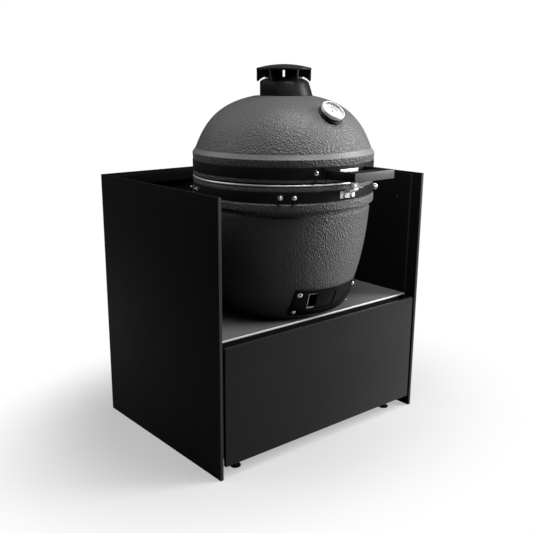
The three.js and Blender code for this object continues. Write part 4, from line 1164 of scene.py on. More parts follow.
class GRILLTABLE_OT_hinge(bpy.types.Operator):
    """Builds the rear hinge: two brackets, the pin and the lift springs"""

    bl_idname = "grilltable.hinge"
    bl_label = "Rear Hinge"

    SHEET = 4
    PLATE_FACE = PLATE_SEAT + SHEET
    EAR, EAR_RADIUS, BOLT_OFFSET = 5, 12, 30
    LOWER_PLATE, UPPER_PLATE = (406.5, 454), (462.6, 519.9)
    PIN_END = [(0, -77.3), (6.6, -77.3), (8, -76), (8, -73.3), (5, -73.3)]
    COIL, WIRE, PITCH, TURNS, SPRING_X, SPRING_TAIL = 7.2, 3.6, 5.4, 5, 44.8, 16
    STRAIGHT_STEPS, TURN_STEPS = 6, 28

    def execute(self, context):
        self.bracket(
            "lower", "cabinet", half_width=78, plate_z=self.LOWER_PLATE, ear_z=self.LOWER_PLATE,
            offset=68, ear_angles=(100, -60), bolt_z=sum(LOWER_BAND) / 2,
        )
        self.bracket(
            "upper", "lid", half_width=60, plate_z=self.UPPER_PLATE, ear_z=UPPER_BAND,
            offset=47, ear_angles=(30, -120), bolt_z=sum(UPPER_BAND) / 2,
        )
        pin = turned("hinge_rod", mirrored(self.PIN_END), 32, ORIGIN, ease=0.5)
        set_in_place(pin, at_grill(0, PIN_REACH, PIN_Z) @ turn(90, "Y"))
        finish(pin, "cabinet", "stainless", "stainless_steel", "hinge_pin")
        for side_name, side in (("left", -1), ("right", 1)):
            self.spring(side_name, side)
        return {"FINISHED"}

    def bracket(self, name, body, half_width, plate_z, ear_z, offset, ear_angles, bolt_z):
        """A plate on the band with two ears that carry the pin."""
        plate = band_plate("hinge_plate", PLATE_SEAT, self.SHEET, half_width, *plate_z)
        parts = [turned_to_back(plate)]
        root = math.sqrt(self.PLATE_FACE ** 2 - (offset + self.EAR) ** 2) - 2
        outline = [(root, ear_z[0]), (root, ear_z[1])]
        outline += arc((PIN_REACH, PIN_Z), self.EAR_RADIUS, *ear_angles, 20)
        for side in (-1, 1):
            ends = sorted((side * offset, side * (offset + self.EAR)))
            ear = ease_edges(sideways("hinge_ear", outline, *ends), 0.0007, 2)
            middle = GRILL + mm(side * (offset + self.EAR / 2), PIN_REACH, PIN_Z)
            parts.append(carve(ear, bar("pin_bore", 5.4, 20, middle, sides=32, across=True)))
        node = f"{name}_hinge_bracket"
        bracket = joined(f"{name}_hinge_plate", parts)
        finish(bracket, body, "black_steel", "coated_steel", node)
        spread = spread_at(self.BOLT_OFFSET, BAND_FACE)
        places = bolt_places((180 - spread, 180 + spread), self.PLATE_FACE, bolt_z)
        fasteners(f"{name}_hinge_bolts", dome_bolt(), places, body, node)

    def spring(self, side_name, side):
        """A wound wire spring: a foot on the hinge plate, its turns and an upright end."""
        coil, start_x = self.COIL, self.SPRING_X
        foot = PIN_REACH - math.sqrt(self.PLATE_FACE ** 2 - start_x ** 2) - 0.3
        sweep = FULL_TURN * self.TURNS - math.pi / 2
        points = [
            (side * start_x, PIN_REACH - foot * (1 - step / self.STRAIGHT_STEPS), PIN_Z - coil)
            for step in range(self.STRAIGHT_STEPS)
        ]
        steps = self.TURN_STEPS * self.TURNS
        for step in range(steps + 1):
            wound = sweep * step / steps
            points.append((
                side * (start_x - self.PITCH * wound / FULL_TURN),
                PIN_REACH + coil * math.sin(wound),
                PIN_Z - coil * math.cos(wound),
            ))
        x, y, z = points[-1]
        points += [
            (x, y, z + self.SPRING_TAIL * step / self.STRAIGHT_STEPS)
            for step in range(1, self.STRAIGHT_STEPS + 1)
        ]
        to_object_mode()
        bpy.ops.curve.primitive_nurbs_path_add(location=(0, 0, 0))
        path = bpy.context.active_object
        path.data.splines.clear()
        line = path.data.splines.new("POLY")
        line.points.add(len(points) - 1)
        for point, place in zip(line.points, points):
            point.co = (*(GRILL + mm(*place)), 1)
        path.data.dimensions = "3D"
        path.data.bevel_depth = self.WIRE * MM / 2 * 0.98
        path.data.bevel_resolution = 3
        path.data.use_fill_caps = True
        alone(path)
        bpy.ops.object.convert(target="MESH")
        spring = bpy.context.active_object
        spring.name = spring.data.name = f"{side_name}_lift_spring"
        edit(spring)
        welded(spring)
        node = f"{side_name}_hinge_spring"
        finish(spring, "cabinet", "spring_steel", "spring_wire", node, smooth=60)


SHEET_LEVELS = 14


def body_radius(height):
    """The radius of the base at a height, in millimetres."""
    fine = bezier(BODY_CURVE, 240)
    for below, above in zip(fine, fine[1:]):
        if below.y <= height <= above.y:
            share = (height - below.y) / (above.y - below.y)
            return below.x + (above.x - below.x) * share
    raise ValueError(f"the base has no radius at {height} mm")


def body_sheet(name, layer, heights, span, ease=0.5, steps=64):
    """A sheet that follows the base, in a layer outside it and between two angles."""
    near, far = layer
    low, high = heights
    levels = [low + (high - low) * step / SHEET_LEVELS for step in range(SHEET_LEVELS + 1)]
    outside = [(body_radius(level) + far, level) for level in levels]
    inside = [(body_radius(level) + near, level) for level in reversed(levels)]
    return turned(name, outside + inside, steps, loop=True, span=span, ease=ease)


class GRILLTABLE_OT_draft(bpy.types.Operator):
    """Builds the draft frame, the bright plate behind it, the sliding door and the bolts"""

    bl_idname = "grilltable.draft"
    bl_label = "Draft Door"

    SIDES = (-36, 36)
    PLATE, PLATE_Z, PLATE_HALF = (0.3, 1.5), (21.5, 111.5), 134
    FRAME, FRAME_Z, FRAME_HALF = (1.8, 6.5), (19.5, 113.5), 136
    POCKET, POCKET_Z, POCKET_SPAN = (-1, 4.7), (37.8, 105.2), (-22, 25.3)
    DOOR, DOOR_Z, DOOR_SPAN = (2.2, 4), (38.5, 104.5), (-13.5, 9.8)
    HOLE_SPAN, HOLE = (-20.2, 1.5), (180, 330, 50, 98)
    WINDOW_SPAN, WINDOW = (-21, 3.5), (180, 330, 42.5, 100.5)
    BOLT_OFFSET, BOLT_Z, LEAN_REACH = 122, (33.5, 99.5), 14

    def execute(self, context):
        plate = body_sheet("draft_back_plate", self.PLATE, self.PLATE_Z, self.SIDES, 0.2)
        keep_width(plate, self.PLATE_HALF)
        carve(plate, wedge("plate_hole", self.HOLE_SPAN, self.HOLE))
        finish(plate, "cabinet", "stainless", "satin_steel", "draft_plate")

        sheet = body_sheet("draft_front_frame", self.FRAME, self.FRAME_Z, self.SIDES, 0.9)
        keep_width(sheet, self.FRAME_HALF)
        pocket = body_sheet("door_pocket", self.POCKET, self.POCKET_Z, self.POCKET_SPAN, 0.1)
        carve(sheet, pocket, wedge("draft_window", self.WINDOW_SPAN, self.WINDOW))
        finish(sheet, "cabinet", "black_steel", "frame_steel", "draft_frame")

        door = body_sheet("draft_slide_door", self.DOOR, self.DOOR_Z, self.DOOR_SPAN, 0.4, 32)
        finish(door, "draft_slide", "black_steel", "frame_steel", "draft_door")

        places = []
        for level in self.BOLT_Z:
            radius = body_radius(level) + self.FRAME[1]
            spread = spread_at(self.BOLT_OFFSET, radius)
            growth = body_radius(level + self.LEAN_REACH) - body_radius(level - self.LEAN_REACH)
            lean = math.degrees(math.atan2(growth, 2 * self.LEAN_REACH))
            places += [outwards(angle, radius, level, lean) for angle in (-spread, spread)]
        fasteners("draft_bolts", dome_bolt(), places, "cabinet", "draft_frame")
        return {"FINISHED"}


class GRILLTABLE_OT_latch(bpy.types.Operator):
    """Builds the latch: its base, screws, pin and lever, and the keeper on the lid"""

    bl_idname = "grilltable.latch"
    bl_label = "Latch"

    PIVOT = (-332, 445.5)
    SHEET, PLATE_HALF, PLATE_Z = 3, 32.5, (417, 438.5)
    PLATE_FACE = PLATE_SEAT + SHEET
    EAR_INNER, EAR_RADIUS, EAR_ROOT = 15.5, 7, -311.5
    PIN_END = [(0, -22.5), (2.4, -22.5), (3, -21.9)]
    SCREW_OFFSET, SCREW_Z = 15, 423.5
    SCREW = [(0, 2.2), (1.8, 2.2), (1.8, 4.4), (3.6, 4), (4.2, 3), (4.2, -0.6), (0, -0.6)]
    GROMMET = (4.4, 6.2, -0.4, 1)
    HOOK = [(2, 46), (12, 46), (12, 50), (-2, 50)]
    LIP = [(0, 8), (-22, 13), (-22, 16), (0, 11)]
    REST_SWING = 16
    KEEPER_SEAT, KEEPER_HALF, KEEPER_RISE = 314.3, 40, 21
    TONGUE_HALF, TONGUE_TIP, TONGUE_ROOT, TONGUE, HOOK_GAP = 13, 3, -315.8, 3.2, 0.8

    def execute(self, context):
        pivot = at_grill(0, *self.PIVOT)
        self.base(pivot)
        self.screws()
        self.lever(pivot)
        self.keeper()
        return {"FINISHED"}

    def base(self, pivot):
        low, high = self.PLATE_Z
        parts = [band_plate("latch_plate", PLATE_SEAT, self.SHEET, self.PLATE_HALF, low, high)]
        knuckle = arc(self.PIVOT, self.EAR_RADIUS, 240, 60, 14)
        outline = [(self.EAR_ROOT, low + 13), *knuckle, (self.EAR_ROOT, high)]
        for side in (-1, 1):
            ends = sorted((side * self.EAR_INNER, side * (self.EAR_INNER + self.SHEET)))
            parts.append(ease_edges(sideways("latch_ear", outline, *ends), 0.0005, 2))
        pin = turned("latch_pin", mirrored(self.PIN_END), 24, ORIGIN)
        parts.append(set_in_place(pin, pivot @ turn(90, "Y")))
        base = joined("latch_mount", parts)
        finish(base, "cabinet", "stainless", "satin_steel", "latch_base")

    def screws(self):
        """The two screws of the plate, each in a dark ring."""
        spread = spread_at(self.SCREW_OFFSET, self.PLATE_FACE)
        places = bolt_places((-spread, spread), self.PLATE_FACE, self.SCREW_Z)
        head = turned("latch_screw", self.SCREW, 28, ORIGIN, ease=0.3)
        screws = copies("latch_screws", head, places)
        finish(screws, "cabinet", "stainless", "satin_steel", "latch_base")
        grommet = ring("latch_grommet", self.GROMMET, 28, ORIGIN, ease=0.4)
        rings = copies("latch_grommets", grommet, places)
        finish(rings, "cabinet", "stainless", "black_rubber", "latch_base")

    def lever(self, pivot):
        """The bent lever, shut, and then swung out to where it rests."""
        eye = arc((0, 0), self.EAR_RADIUS, 110, 430, 24)
        arm = ease_edges(sideways("lever_arm", eye + self.HOOK, -15, 15, ORIGIN), 0.0006, 2)
        tab = ease_edges(sideways("lever_tab", self.LIP, -22, 22, ORIGIN), 0.0006, 2)
        carve(arm, bar("lever_bore", 3.4, 80, across=True))
        lever = joined("latch_hook", [arm, tab])
        set_in_place(lever, pivot @ turn(self.REST_SWING, "X"))
        finish(lever, "latch", "stainless", "lever_steel", "latch_lever")

    def keeper(self):
        """The keeper plate on the handle's plate, with the tongue that the hook takes."""
        hook_z = self.PIVOT[1] + self.HOOK[0][1]
        low = hook_z - self.HOOK_GAP - self.TONGUE
        plate = band_plate(
            "keeper_plate", self.KEEPER_SEAT, self.SHEET, self.KEEPER_HALF, low,
            low + self.KEEPER_RISE,
        )
        tongue = ease_edges(block(
            "keeper_tongue",
            GRILL + mm(-self.TONGUE_HALF, self.PIVOT[0] + self.TONGUE_TIP, low),
            GRILL + mm(self.TONGUE_HALF, self.TONGUE_ROOT, low + self.TONGUE),
        ), 0.0006, 2)
        keeper = joined("latch_catch", [plate, tongue])
        finish(keeper, "lid", "stainless", "satin_steel", "latch_keeper")


# Lid and handle

class GRILLTABLE_OT_lid(bpy.types.Operator):
    """Builds the ceramic lid and the felt under it"""

    bl_idname = "grilltable.lid"
    bl_label = "Ceramic Lid"

    WALL = 27
    FOOT = [
        (RIM_INNER, 469.6), (RIM, 469.6), (RIM, 480.7), (BAND_SEAT, 480.7), (BAND_SEAT, 518.2),
        (308.2, 518.2), (310, 541.5),
    ]
    NECK_SEAT, NECK_HOLE = 100, 60
    CROWN = [(NECK_SEAT, 725.2), (NECK_HOLE, 725.2), (NECK_HOLE, 698.2)]
    FELT = (RIM_INNER, 304, 465, 469.3)

    def execute(self, context):
        sizes = context.scene.grill_table_sizes
        curve = bezier(DOME_CURVE, 44)
        outside = [point for point in curve if point.x > self.NECK_SEAT]
        inside = []
        for before, here, after in zip(curve, curve[1:], curve[2:]):
            along = (after - before).normalized()
            point = (here.x - along.y * self.WALL, here.y + along.x * self.WALL)
            if point[0] > self.NECK_HOLE:
                inside.append(point)
        dome = turned(
            "ceramic_lid", self.FOOT + outside + self.CROWN + inside[::-1],
            sizes.turning_steps, loop=True, ease=sizes.ceramic_ease / MM,
        )
        carve(dome, set_in_place(bar("probe_hole", 5, 120), dial_place()))
        finish(dome, "lid", "glazed_body", "dome_glaze", "lid_dome")
        felt = ring("lid_felt", self.FELT, sizes.turning_steps, ease=1.2)
        finish(felt, "lid", "black_felt", "dark_felt", "lid_gasket")
        return {"FINISHED"}


class GRILLTABLE_OT_upper_band(bpy.types.Operator):
    """Builds the band that clamps the lid, with its nuts"""

    bl_idname = "grilltable.upper_band"
    bl_label = "Upper Band"

    NUT_ANGLES = (-22, 22)

    def execute(self, context):
        clamp_band(context.scene.grill_table_sizes, "upper", "lid", UPPER_BAND)
        places = bolt_places(self.NUT_ANGLES, BAND_FACE, sum(UPPER_BAND) / 2)
        fasteners("upper_band_nuts", cap_nut(), places, "lid", "upper_band")
        return {"FINISHED"}


class GRILLTABLE_OT_handle(bpy.types.Operator):
    """Builds the handle bar, its curved plate, arms, tabs and screws"""

    bl_idname = "grilltable.handle"
    bl_label = "Handle"

    PLATE_SHEET, PLATE_HALF, PLATE_Z = 4, 96, (481.3, 519.4)
    ARM, TAB, TAB_SHEET, SCREW_OFFSET = (82, 88), (62, 82.5), 6, 70.2
    GAP = 0.3

    def execute(self, context):
        grip = boxed("handle_grip", "handle_bar", context.scene.grill_table_sizes.handle_ease)
        finish(grip, "lid", "grey_handle", "handle_black", "handle_bar")
        # Painted highlight: the bar's front face gets the lighter copy of its finish
        front_edge(grip, "handle_grey")
        low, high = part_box("handle_bar")
        parts = [band_plate(
            "handle_plate", PLATE_SEAT, self.PLATE_SHEET, self.PLATE_HALF, *self.PLATE_Z
        )]
        root = GRILL.y - MM * (self.GAP + math.sqrt(PLATE_SEAT ** 2 - self.ARM[0] ** 2))
        front = high.y + self.GAP * MM
        face = front + self.TAB_SHEET * MM
        places = []
        for side in (-1, 1):
            for name, width, back in (
                ("handle_arm", self.ARM, root), ("handle_tab", self.TAB, face)
            ):
                near, far = sorted(side * edge * MM for edge in width)
                part = block(name, (near, front, low.z), (far, back, high.z))
                parts.append(ease_edges(part, 0.001, 2))
            place = Vector((side * self.SCREW_OFFSET * MM, face, (low.z + high.z) / 2))
            places.append(Matrix.Translation(place) @ turn(-90, "X"))
        bracket = joined("handle_arms", parts)
        finish(bracket, "lid", "black_steel", "coated_steel", "handle_bracket")
        fasteners("handle_screws", dome_bolt(), places, "lid", "handle_bracket")
        return {"FINISHED"}


# Chimney

NECK_PLACE = GRILL + mm(0, 0, NECK_BASE)


def windows(name, first):
    """Cutting tools for the damper's three windows, the first one's middle at an angle."""
    section, half = (12, 46, 40, 70), 27
    return [
        ring(name, section, 12, NECK_PLACE, (middle - half, middle + half))
        for middle in (first, first + 120, first + 240)
    ]


class GRILLTABLE_OT_chimney(bpy.types.Operator):
    """Builds the cast neck with its damper windows, the turning cap and its nut"""

    bl_idname = "grilltable.chimney"
    bl_label = "Chimney"

    NECK_FOOT = [(5.4, 48.5), (52, 48.5), (52, -22), (59.3, -22), (59.3, 0), (97.5, 0)]
    NECK_CURVE = [(84.5, 41), (79.9, 48.2), (69.5, 54.6), (54, 57)]
    NECK_TOP = [(52, 57), (52, 54.5), (5.4, 54.5)]
    PLAN_HALF, PLAN_FRONT, PLAN_ROUND, PLAN_CORNER = 72.5, -120, 45, (27.5, 21.5)
    PLAN_LOW, PLAN_RISE = -45, 130
    ROOF_UNDER, ROOF_RADIUS = [(0, 86.2), (86, 83.2), (92, 83.2)], 92
    ROOF_EDGE, CROWN_RISE = 89.2, 12.6
    CROWN_SHARES = (1, 0.97, 0.9, 0.8, 0.7, 0.6, 0.5, 0.4, 0.3, 0.2, 0.1, 0)
    NUT_RADIUS, NUT_BORE = 9, 5.3
    HUB = (46, 64, 57.3, 61)
    ROTOR = [(0, 41.9), (5, 41.9), (5, 54.8), (50, 54.8), (50, 58), (0, 58)]
    FIN_FOOT = [(12, 56.4), (51, 56.4), (51, 59.2), (64, 61), (77.5, 53.8)]
    FIN_TOP = [(91, 86.2), (12, 86.2)]
    FINS, FIN_HALF, FIN_TURN = 6, 3.5, -11.4

    def execute(self, context):
        self.neck()
        self.cap()
        low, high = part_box("cap_nut")
        middle = (low + high) / 2
        nut = bar("spindle_nut", self.NUT_RADIUS, (high.z - low.z) / MM, middle, sides=6)
        ease_edges(carve(nut, bar("nut_bore", self.NUT_BORE, 30, middle)), 0.0005, 2)
        finish(nut, "cap", "stainless", "stainless_steel", "cap_nut")
        return {"FINISHED"}

    def neck(self):
        outline = self.NECK_FOOT + bezier(self.NECK_CURVE, 12) + self.NECK_TOP
        neck = turned("chimney_casting", outline, 128, NECK_PLACE, loop=True, ease=1.2)
        x, y = self.PLAN_CORNER
        plan = [(-self.PLAN_HALF, self.PLAN_FRONT), (self.PLAN_HALF, self.PLAN_FRONT)]
        plan += arc((x, y), self.PLAN_ROUND, 0, 90, 16)
        plan += arc((-x, y), self.PLAN_ROUND, 90, 180, 16)
        plan = [(*point, self.PLAN_LOW) for point in plan]
        tool = raised("neck_plan", plan, (0, 0, self.PLAN_RISE), NECK_PLACE)
        carve(neck, tool, operation="INTERSECT")
        carve(neck, *windows("neck_window", 0))
        ease_edges(neck, 0.0008, 2, 30)
        finish(neck, "lid", "cast_iron", "sandy_iron", "chimney_neck", smooth=25)

    def cap(self):
        crown = [
            (self.ROOF_RADIUS * share, self.ROOF_EDGE + self.CROWN_RISE * (1 - share ** 2))
            for share in self.CROWN_SHARES
        ]
        roof = turned("cap_roof", self.ROOF_UNDER + crown, 96, NECK_PLACE, ease=1.4)
        hub = ring("cap_hub", self.HUB, 96, NECK_PLACE, ease=0.8)
        rotor = turned("cap_rotor", self.ROTOR, 96, NECK_PLACE, ease=0.5)
        carve(rotor, *windows("rotor_window", 30))
        plan = self.FIN_FOOT + arc((86, 51), 5, -90, 0, 6) + self.FIN_TOP
        side = [(-radius, height) for radius, height in plan]
        fin = sideways("fin_pattern", side, -self.FIN_HALF, self.FIN_HALF, ORIGIN)
        ease_edges(fin, 0.0012, 2)
        places = [
            Matrix.Translation(NECK_PLACE) @ turn(self.FIN_TURN + 360 / self.FINS * index, "Z")
            for index in range(self.FINS)
        ]
        fins = copies("cap_fins", fin, places)
        cap = joined("vented_cap", [roof, hub, rotor, fins])
        # The cap takes the lighter copy of the neck's iron: painted highlight
        finish(cap, "cap", "cast_iron", "cap_iron", "chimney_cap")


# Thermometer

DIAL_STEP, DOME_STEPS = 482, 1000


def dial_place():
    """Where the thermometer stands, square to the dome at a step along its curve."""
    curve = bezier(DOME_CURVE, DOME_STEPS)
    here, after = curve[DIAL_STEP:DIAL_STEP + 2]
    along = (after - here).normalized()
    tilt = math.degrees(math.atan2(along.y, -along.x))
    return at_grill(0, -here.x, here.y) @ turn(tilt, "X")


def on_dial(piece, slot, coat, node):
    """Sets a piece of the thermometer, drawn at the origin, in its place on the lid."""
    finish(set_in_place(piece, dial_place()), "lid", slot, coat, node)


class GRILLTABLE_OT_thermometer(bpy.types.Operator):
    """Builds the thermometer: mount, case, dial with its marks, needle, lens and probe"""

    bl_idname = "grilltable.thermometer"
    bl_label = "Thermometer"

    MOUNT = [
        (4.3, 0.3), (35, 0.3), (41, -1.4), (42.5, -1.2), (42.5, 2), (37.5, 3.4), (36, 9.3),
        (4.3, 9.3),
    ]
    CASE = [
        (1.4, 12.1), (1.4, 5.1), (4, 5.1), (4, 9.6), (38, 9.6), (40, 11.6), (40, 20.4),
        (38.2, 22.6), (35.5, 22.6), (35.5, 20.6), (36.5, 20.6), (36.5, 12.1),
    ]
    DIAL = (1.4, 36.2, 12.4, 13.2)
    # Painted shade: a dark arc inside the case, drawn only over the part of the dial that the
    # bezel's lip shades
    SPACER = [(34.6, 13.4), (36.3, 13.4), (36.3, 18.7), (35.4, 18.7)]
    LENS = (0, 36.2, 18.8, 20.3)
    ROD = [(0, -118), (4, -112), (4, 4.8), (0, 4.8)]
    FIRST_MARK, SWEEP = 225, 270
    TICKS, NUMBERS, TICKS_TO_NUMBER = 48, 8, 6
    SHORT_TICK, LONG_TICK = (32, 0.2), (30.6, 0.35)
    TICK_OUTER, TICK_LOW, TICK_HIGH = 33.6, 13.2, 13.3
    NUMBER_STEP, NUMBER_RADIUS, NUMBER_SIZE, NUMBER_LEVEL = 50, 27.4, 4.6, 13.25
    INK = 0.05
    # Painted shade: a wide grey arc on the dial, where shade from the case falls
    SCALE_ARC, SCALE_SPAN = (18, 25, 13.1, 13.5), (90, 190)
    POINTER = [(-0.9, -8), (0.9, -8), (1.1, 0), (0.25, 27), (-0.25, 27), (-1.1, 0)]
    POINTER_LEVEL, POINTER_SHEET = 14, 0.8
    POINTER_HUB = [(0, 9.6), (1, 9.6), (1, 13.5), (3, 13.5), (3, 14.8), (0, 14.8)]
    POINTER_REST = 135

    def execute(self, context):
        mount = turned("dial_mount", self.MOUNT, 72, ORIGIN, loop=True, ease=1)
        on_dial(mount, "black_plastic", "black_rubber", "thermometer_mount")
        case = turned("dial_case", self.CASE, 96, ORIGIN, loop=True, ease=0.7)
        on_dial(case, "stainless", "satin_steel", "thermometer_case")
        dial = ring("dial_face", self.DIAL, 72, ORIGIN, ease=0.2)
        on_dial(dial, "white_dial", "dial_white", "thermometer_dial")
        # Painted shade: a dark arc of the case's inner ring, only where the bezel's lip casts its
        # shadow on the dial
        lip_shadow = turned("dial_spacer", self.SPACER, 72, ORIGIN, True, (105, 178), 0.2)
        on_dial(lip_shadow, "black_plastic", "black_rubber", "thermometer_case")
        self.marks()
        lens = turned("dial_lens", ring_section(*self.LENS), 72, ORIGIN, ease=0.3)
        on_dial(lens, "clear_glass", "thin_lens", "thermometer_lens")
        self.needle()
        rod = turned("probe_rod", self.ROD, 32, ORIGIN, ease=1)
        nut = bar("probe_nut", 11, 7, mm(0, 0, -35), sides=6)
        probe = joined("probe_stem", [rod, ease_edges(nut, 0.0007, 2)])
        on_dial(probe, "stainless", "stainless_steel", "thermometer_probe")
        return {"FINISHED"}

    def marks(self):
        """Printed ticks and plain numbers, and a wide grey arc of painted shade, all a hair thick.
        """
        parts = []
        for tick in range(self.TICKS + 1):
            inner, half = self.SHORT_TICK if tick % self.TICKS_TO_NUMBER else self.LONG_TICK
            mark = block(
                "tick",
                mm(inner, -half, self.TICK_LOW),
                mm(self.TICK_OUTER, half, self.TICK_HIGH),
            )
            angle = self.FIRST_MARK - self.SWEEP * tick / self.TICKS
            parts.append(set_in_place(mark, turn(angle, "Z")))
        for number in range(self.NUMBERS + 1):
            to_object_mode()
            bpy.ops.object.text_add()
            word = bpy.context.active_object
            word.data.body = str(self.NUMBER_STEP * number)
            word.data.align_x = "CENTER"
            word.data.align_y = "CENTER"
            word.data.size = self.NUMBER_SIZE * MM
            word.data.extrude = self.INK * MM
            bpy.ops.object.convert(target="MESH")
            angle = math.radians(self.FIRST_MARK - self.SWEEP * number / self.NUMBERS)
            place = mm(
                self.NUMBER_RADIUS * math.cos(angle),
                self.NUMBER_RADIUS * math.sin(angle),
                self.NUMBER_LEVEL,
            )
            parts.append(set_in_place(bpy.context.active_object, Matrix.Translation(place)))
        # Painted shade: the wide grey arc stands in for shade on the dial, not for print
        sweep = ring("scale_arc", self.SCALE_ARC, 40, ORIGIN, self.SCALE_SPAN)
        on_dial(sweep, "white_dial", "dial_grey", "thermometer_dial")
        on_dial(joined("dial_marks", parts), "white_dial", "dial_ink", "thermometer_dial")

    def needle(self):
        outline = [(x, y, self.POINTER_LEVEL) for x, y in self.POINTER]
        pointer = raised("pointer", outline, (0, 0, self.POINTER_SHEET))
        ease_edges(pointer, 0.0001, 1)
        hub = turned("needle_hub", self.POINTER_HUB, 32, ORIGIN, ease=0.3)
        needle = joined("dial_needle", [pointer, hub])
        set_in_place(needle, dial_place() @ turn(self.POINTER_REST, "Z"))
        finish(needle, "needle", "red_needle", "needle_red", "thermometer_needle")


# Studio

class GRILLTABLE_OT_stage(bpy.types.Operator):
    """Sets the camera, the pale floor, the soft lights and the white surroundings"""

    bl_idname = "grilltable.stage"
    bl_label = "Studio"

    CAMERA_PLACE = (-1.694358, -1.937681, 1.224999)
    CAMERA_TURN = (math.radians(90 - 14.946), 0, math.radians(-38.813))
    LENS, SENSOR, SHIFT_X, SHIFT_Y = 49.87, 36, 0.0322, 0.0185
    VIEW_DEPTH = 60
    FLOOR_SIZE, FLOOR_LEVEL = 40, -0.0005
    WHITE = (1, 1, 1, 1)

    def execute(self, context):
        scene = context.scene
        sizes = scene.grill_table_sizes
        self.camera(scene)
        floor = start_from(
            bpy.ops.mesh.primitive_plane_add,
            "studio_floor",
            size=self.FLOOR_SIZE,
            location=(0, 0, self.FLOOR_LEVEL),
        )
        floor.data.materials.append(self.floor_paint())
        self.lamp("soft_front", (2.69, -1.91, 2.05), (0, 0, 0.85), 1.3, 2.1, sizes.front_light)
        self.lamp("soft_above", (0.06, -0.7, 2.9), (0, 0, 0.8), 0.9, 0.9, sizes.top_light)
        self.lamp("soft_rear", (-2.1, 1.7, 2.3), (0, 0, 0.8), 2.0, 2.0, sizes.rear_light)
        self.surroundings(scene, sizes.sky_light)
        return {"FINISHED"}

    def camera(self, scene):
        """The view of the photograph."""
        to_object_mode()
        bpy.ops.object.camera_add(location=self.CAMERA_PLACE, rotation=self.CAMERA_TURN)
        camera = bpy.context.active_object
        camera.name = "photograph_view"
        camera.data.lens = self.LENS
        camera.data.sensor_width = self.SENSOR
        camera.data.shift_x = self.SHIFT_X
        camera.data.shift_y = self.SHIFT_Y
        camera.data.clip_end = self.VIEW_DEPTH
        scene.camera = camera
        scene.view_settings.view_transform = "Standard"

    def lamp(self, name, place, target, width, height, power):
        to_object_mode()
        aim = Vector(target) - Vector(place)
        bpy.ops.object.light_add(
            type="AREA", location=place, rotation=aim.to_track_quat("-Z", "Y").to_euler()
        )
        lamp = bpy.context.active_object
        lamp.name = name
        lamp.data.shape = "RECTANGLE"
        lamp.data.size = width
        lamp.data.size_y = height
        lamp.data.energy = power

    def floor_paint(self):
        """Matt white paper that fades into the white surroundings away from the table, with a
        painted shadow round the table where the white glow fades out.
        """
        recipe = Recipe("floor_paper", Specular_IOR_Level=0.0, Roughness=1.0)
        paper = recipe.white_rays(0.555, 1.0)
        fibre = 0.97 + 0.03 * recipe.noise(scale=3)
        recipe.surface(Base_Color=recipe.tint(paper * fibre, (0.08,) * 3, (0.8,) * 3))
        # Painted shadow: inside this off-centre ellipse round the table the white glow fades out,
        # so the floor there is darker whatever the light, on top of its real shadows
        about = recipe.node("ShaderNodeMapping", (), {
            "Vector": recipe.place, "Location": (0, -0.12, 0), "Scale": (0.9, 1.22, 1),
        })
        away = recipe.node("ShaderNodeVectorMath", {"operation": "LENGTH"}, {0: about}, 1)
        painted_shadow_fade = recipe.smooth_step(away, 0.52, 1.12, 0.44, 1.0)
        glow = recipe.node("ShaderNodeEmission", (), {"Color": self.WHITE, "Strength": 1.0})
        recipe.show_mix(
            painted_shadow_fade * recipe.white_rays(1.0, 0.1), Wire(recipe, recipe.shader.outputs[0]), glow,
            recipe.tree.nodes["Material Output"],
        )
        return recipe.material

    def surroundings(self, scene, sky_light):
        """White to the camera and in reflections, and a dim sky for everything else."""
        scene.world = scene.world or bpy.data.worlds.new("studio_air")
        scene.world.use_nodes = True
        air = Nodes(scene.world.node_tree)
        air.tree.nodes.clear()
        sky, white = (
            air.node("ShaderNodeBackground", (), {"Color": self.WHITE, "Strength": strength})
            for strength in (sky_light, 1.0)
        )
        output = air.tree.nodes.new("ShaderNodeOutputWorld")
        air.show_mix(air.white_rays(1.0, 0.04), sky, white, output)


# Sizes, colours and the panel that lists the operators

def length(name, default, description, low=0.0, high=10.0):
    return bpy.props.FloatProperty(
        name=name, description=description, default=default, min=low, max=high, unit="LENGTH",
        precision=5,
    )


def colour(name, default, description):
    return bpy.props.FloatVectorProperty(
        name=name, description=description, default=default, min=0, max=1, subtype="COLOR"
    )


def watts(name, default, description):
    return bpy.props.FloatProperty(
        name=name, description=description, default=default, min=0, unit="POWER"
    )


class GrillTableSizes(bpy.types.PropertyGroup):
    """Sizes of the details that the solids leave out."""

    board_ease: length("Board Edge", 0.0009, "Rounding of the boards' edges")
    front_ease: length("Drawer Edge", 0.0014, "Rounding of the drawer front's edges")
    sheet_ease: length("Folded Edge", 0.0003, "Rounding of folded sheet")
    handle_ease: length("Handle Edge", 0.0016, "Rounding of the handle bar's edges")
    ceramic_ease: length("Ceramic Edge", 0.0026, "Rounding of the ceramic's beads and rims")
    screw_rise: length("Screw Rise", 0.0025, "How far the lining's screws stand out")
    screw_inset: length("Screw Inset", 0.0590, "Distance of a lining screw from the board's end")
    screw_height: length("Screw Height", 0.806, "Height of the lining's screws above the floor")
    bolt_radius: length("Bolt Radius", 0.0062, "Radius of the domed bolt heads")
    washer_radius: length("Washer Radius", 0.0082, "Radius of the washers under them")
    dimple: length("Dimple", 0.0056, "Width of one dimple in the ceramic's skin", 0.001)
    dimple_depth: length("Dimple Depth", 0.0030, "Depth of the ceramic's skin")
    turning_steps: bpy.props.IntProperty(
        name="Turning Steps", description="Faces round the kamado", default=144, min=24, max=256
    )
    front_light: watts("Front Light", 205, "Power of the large soft light at the front right")
    top_light: watts("Top Light", 50, "Power of the soft light above")
    rear_light: watts("Rear Light", 32, "Power of the soft light behind")
    sky_light: bpy.props.FloatProperty(
        name="Sky Light", description="Strength of the light from all round", default=0.008, min=0
    )


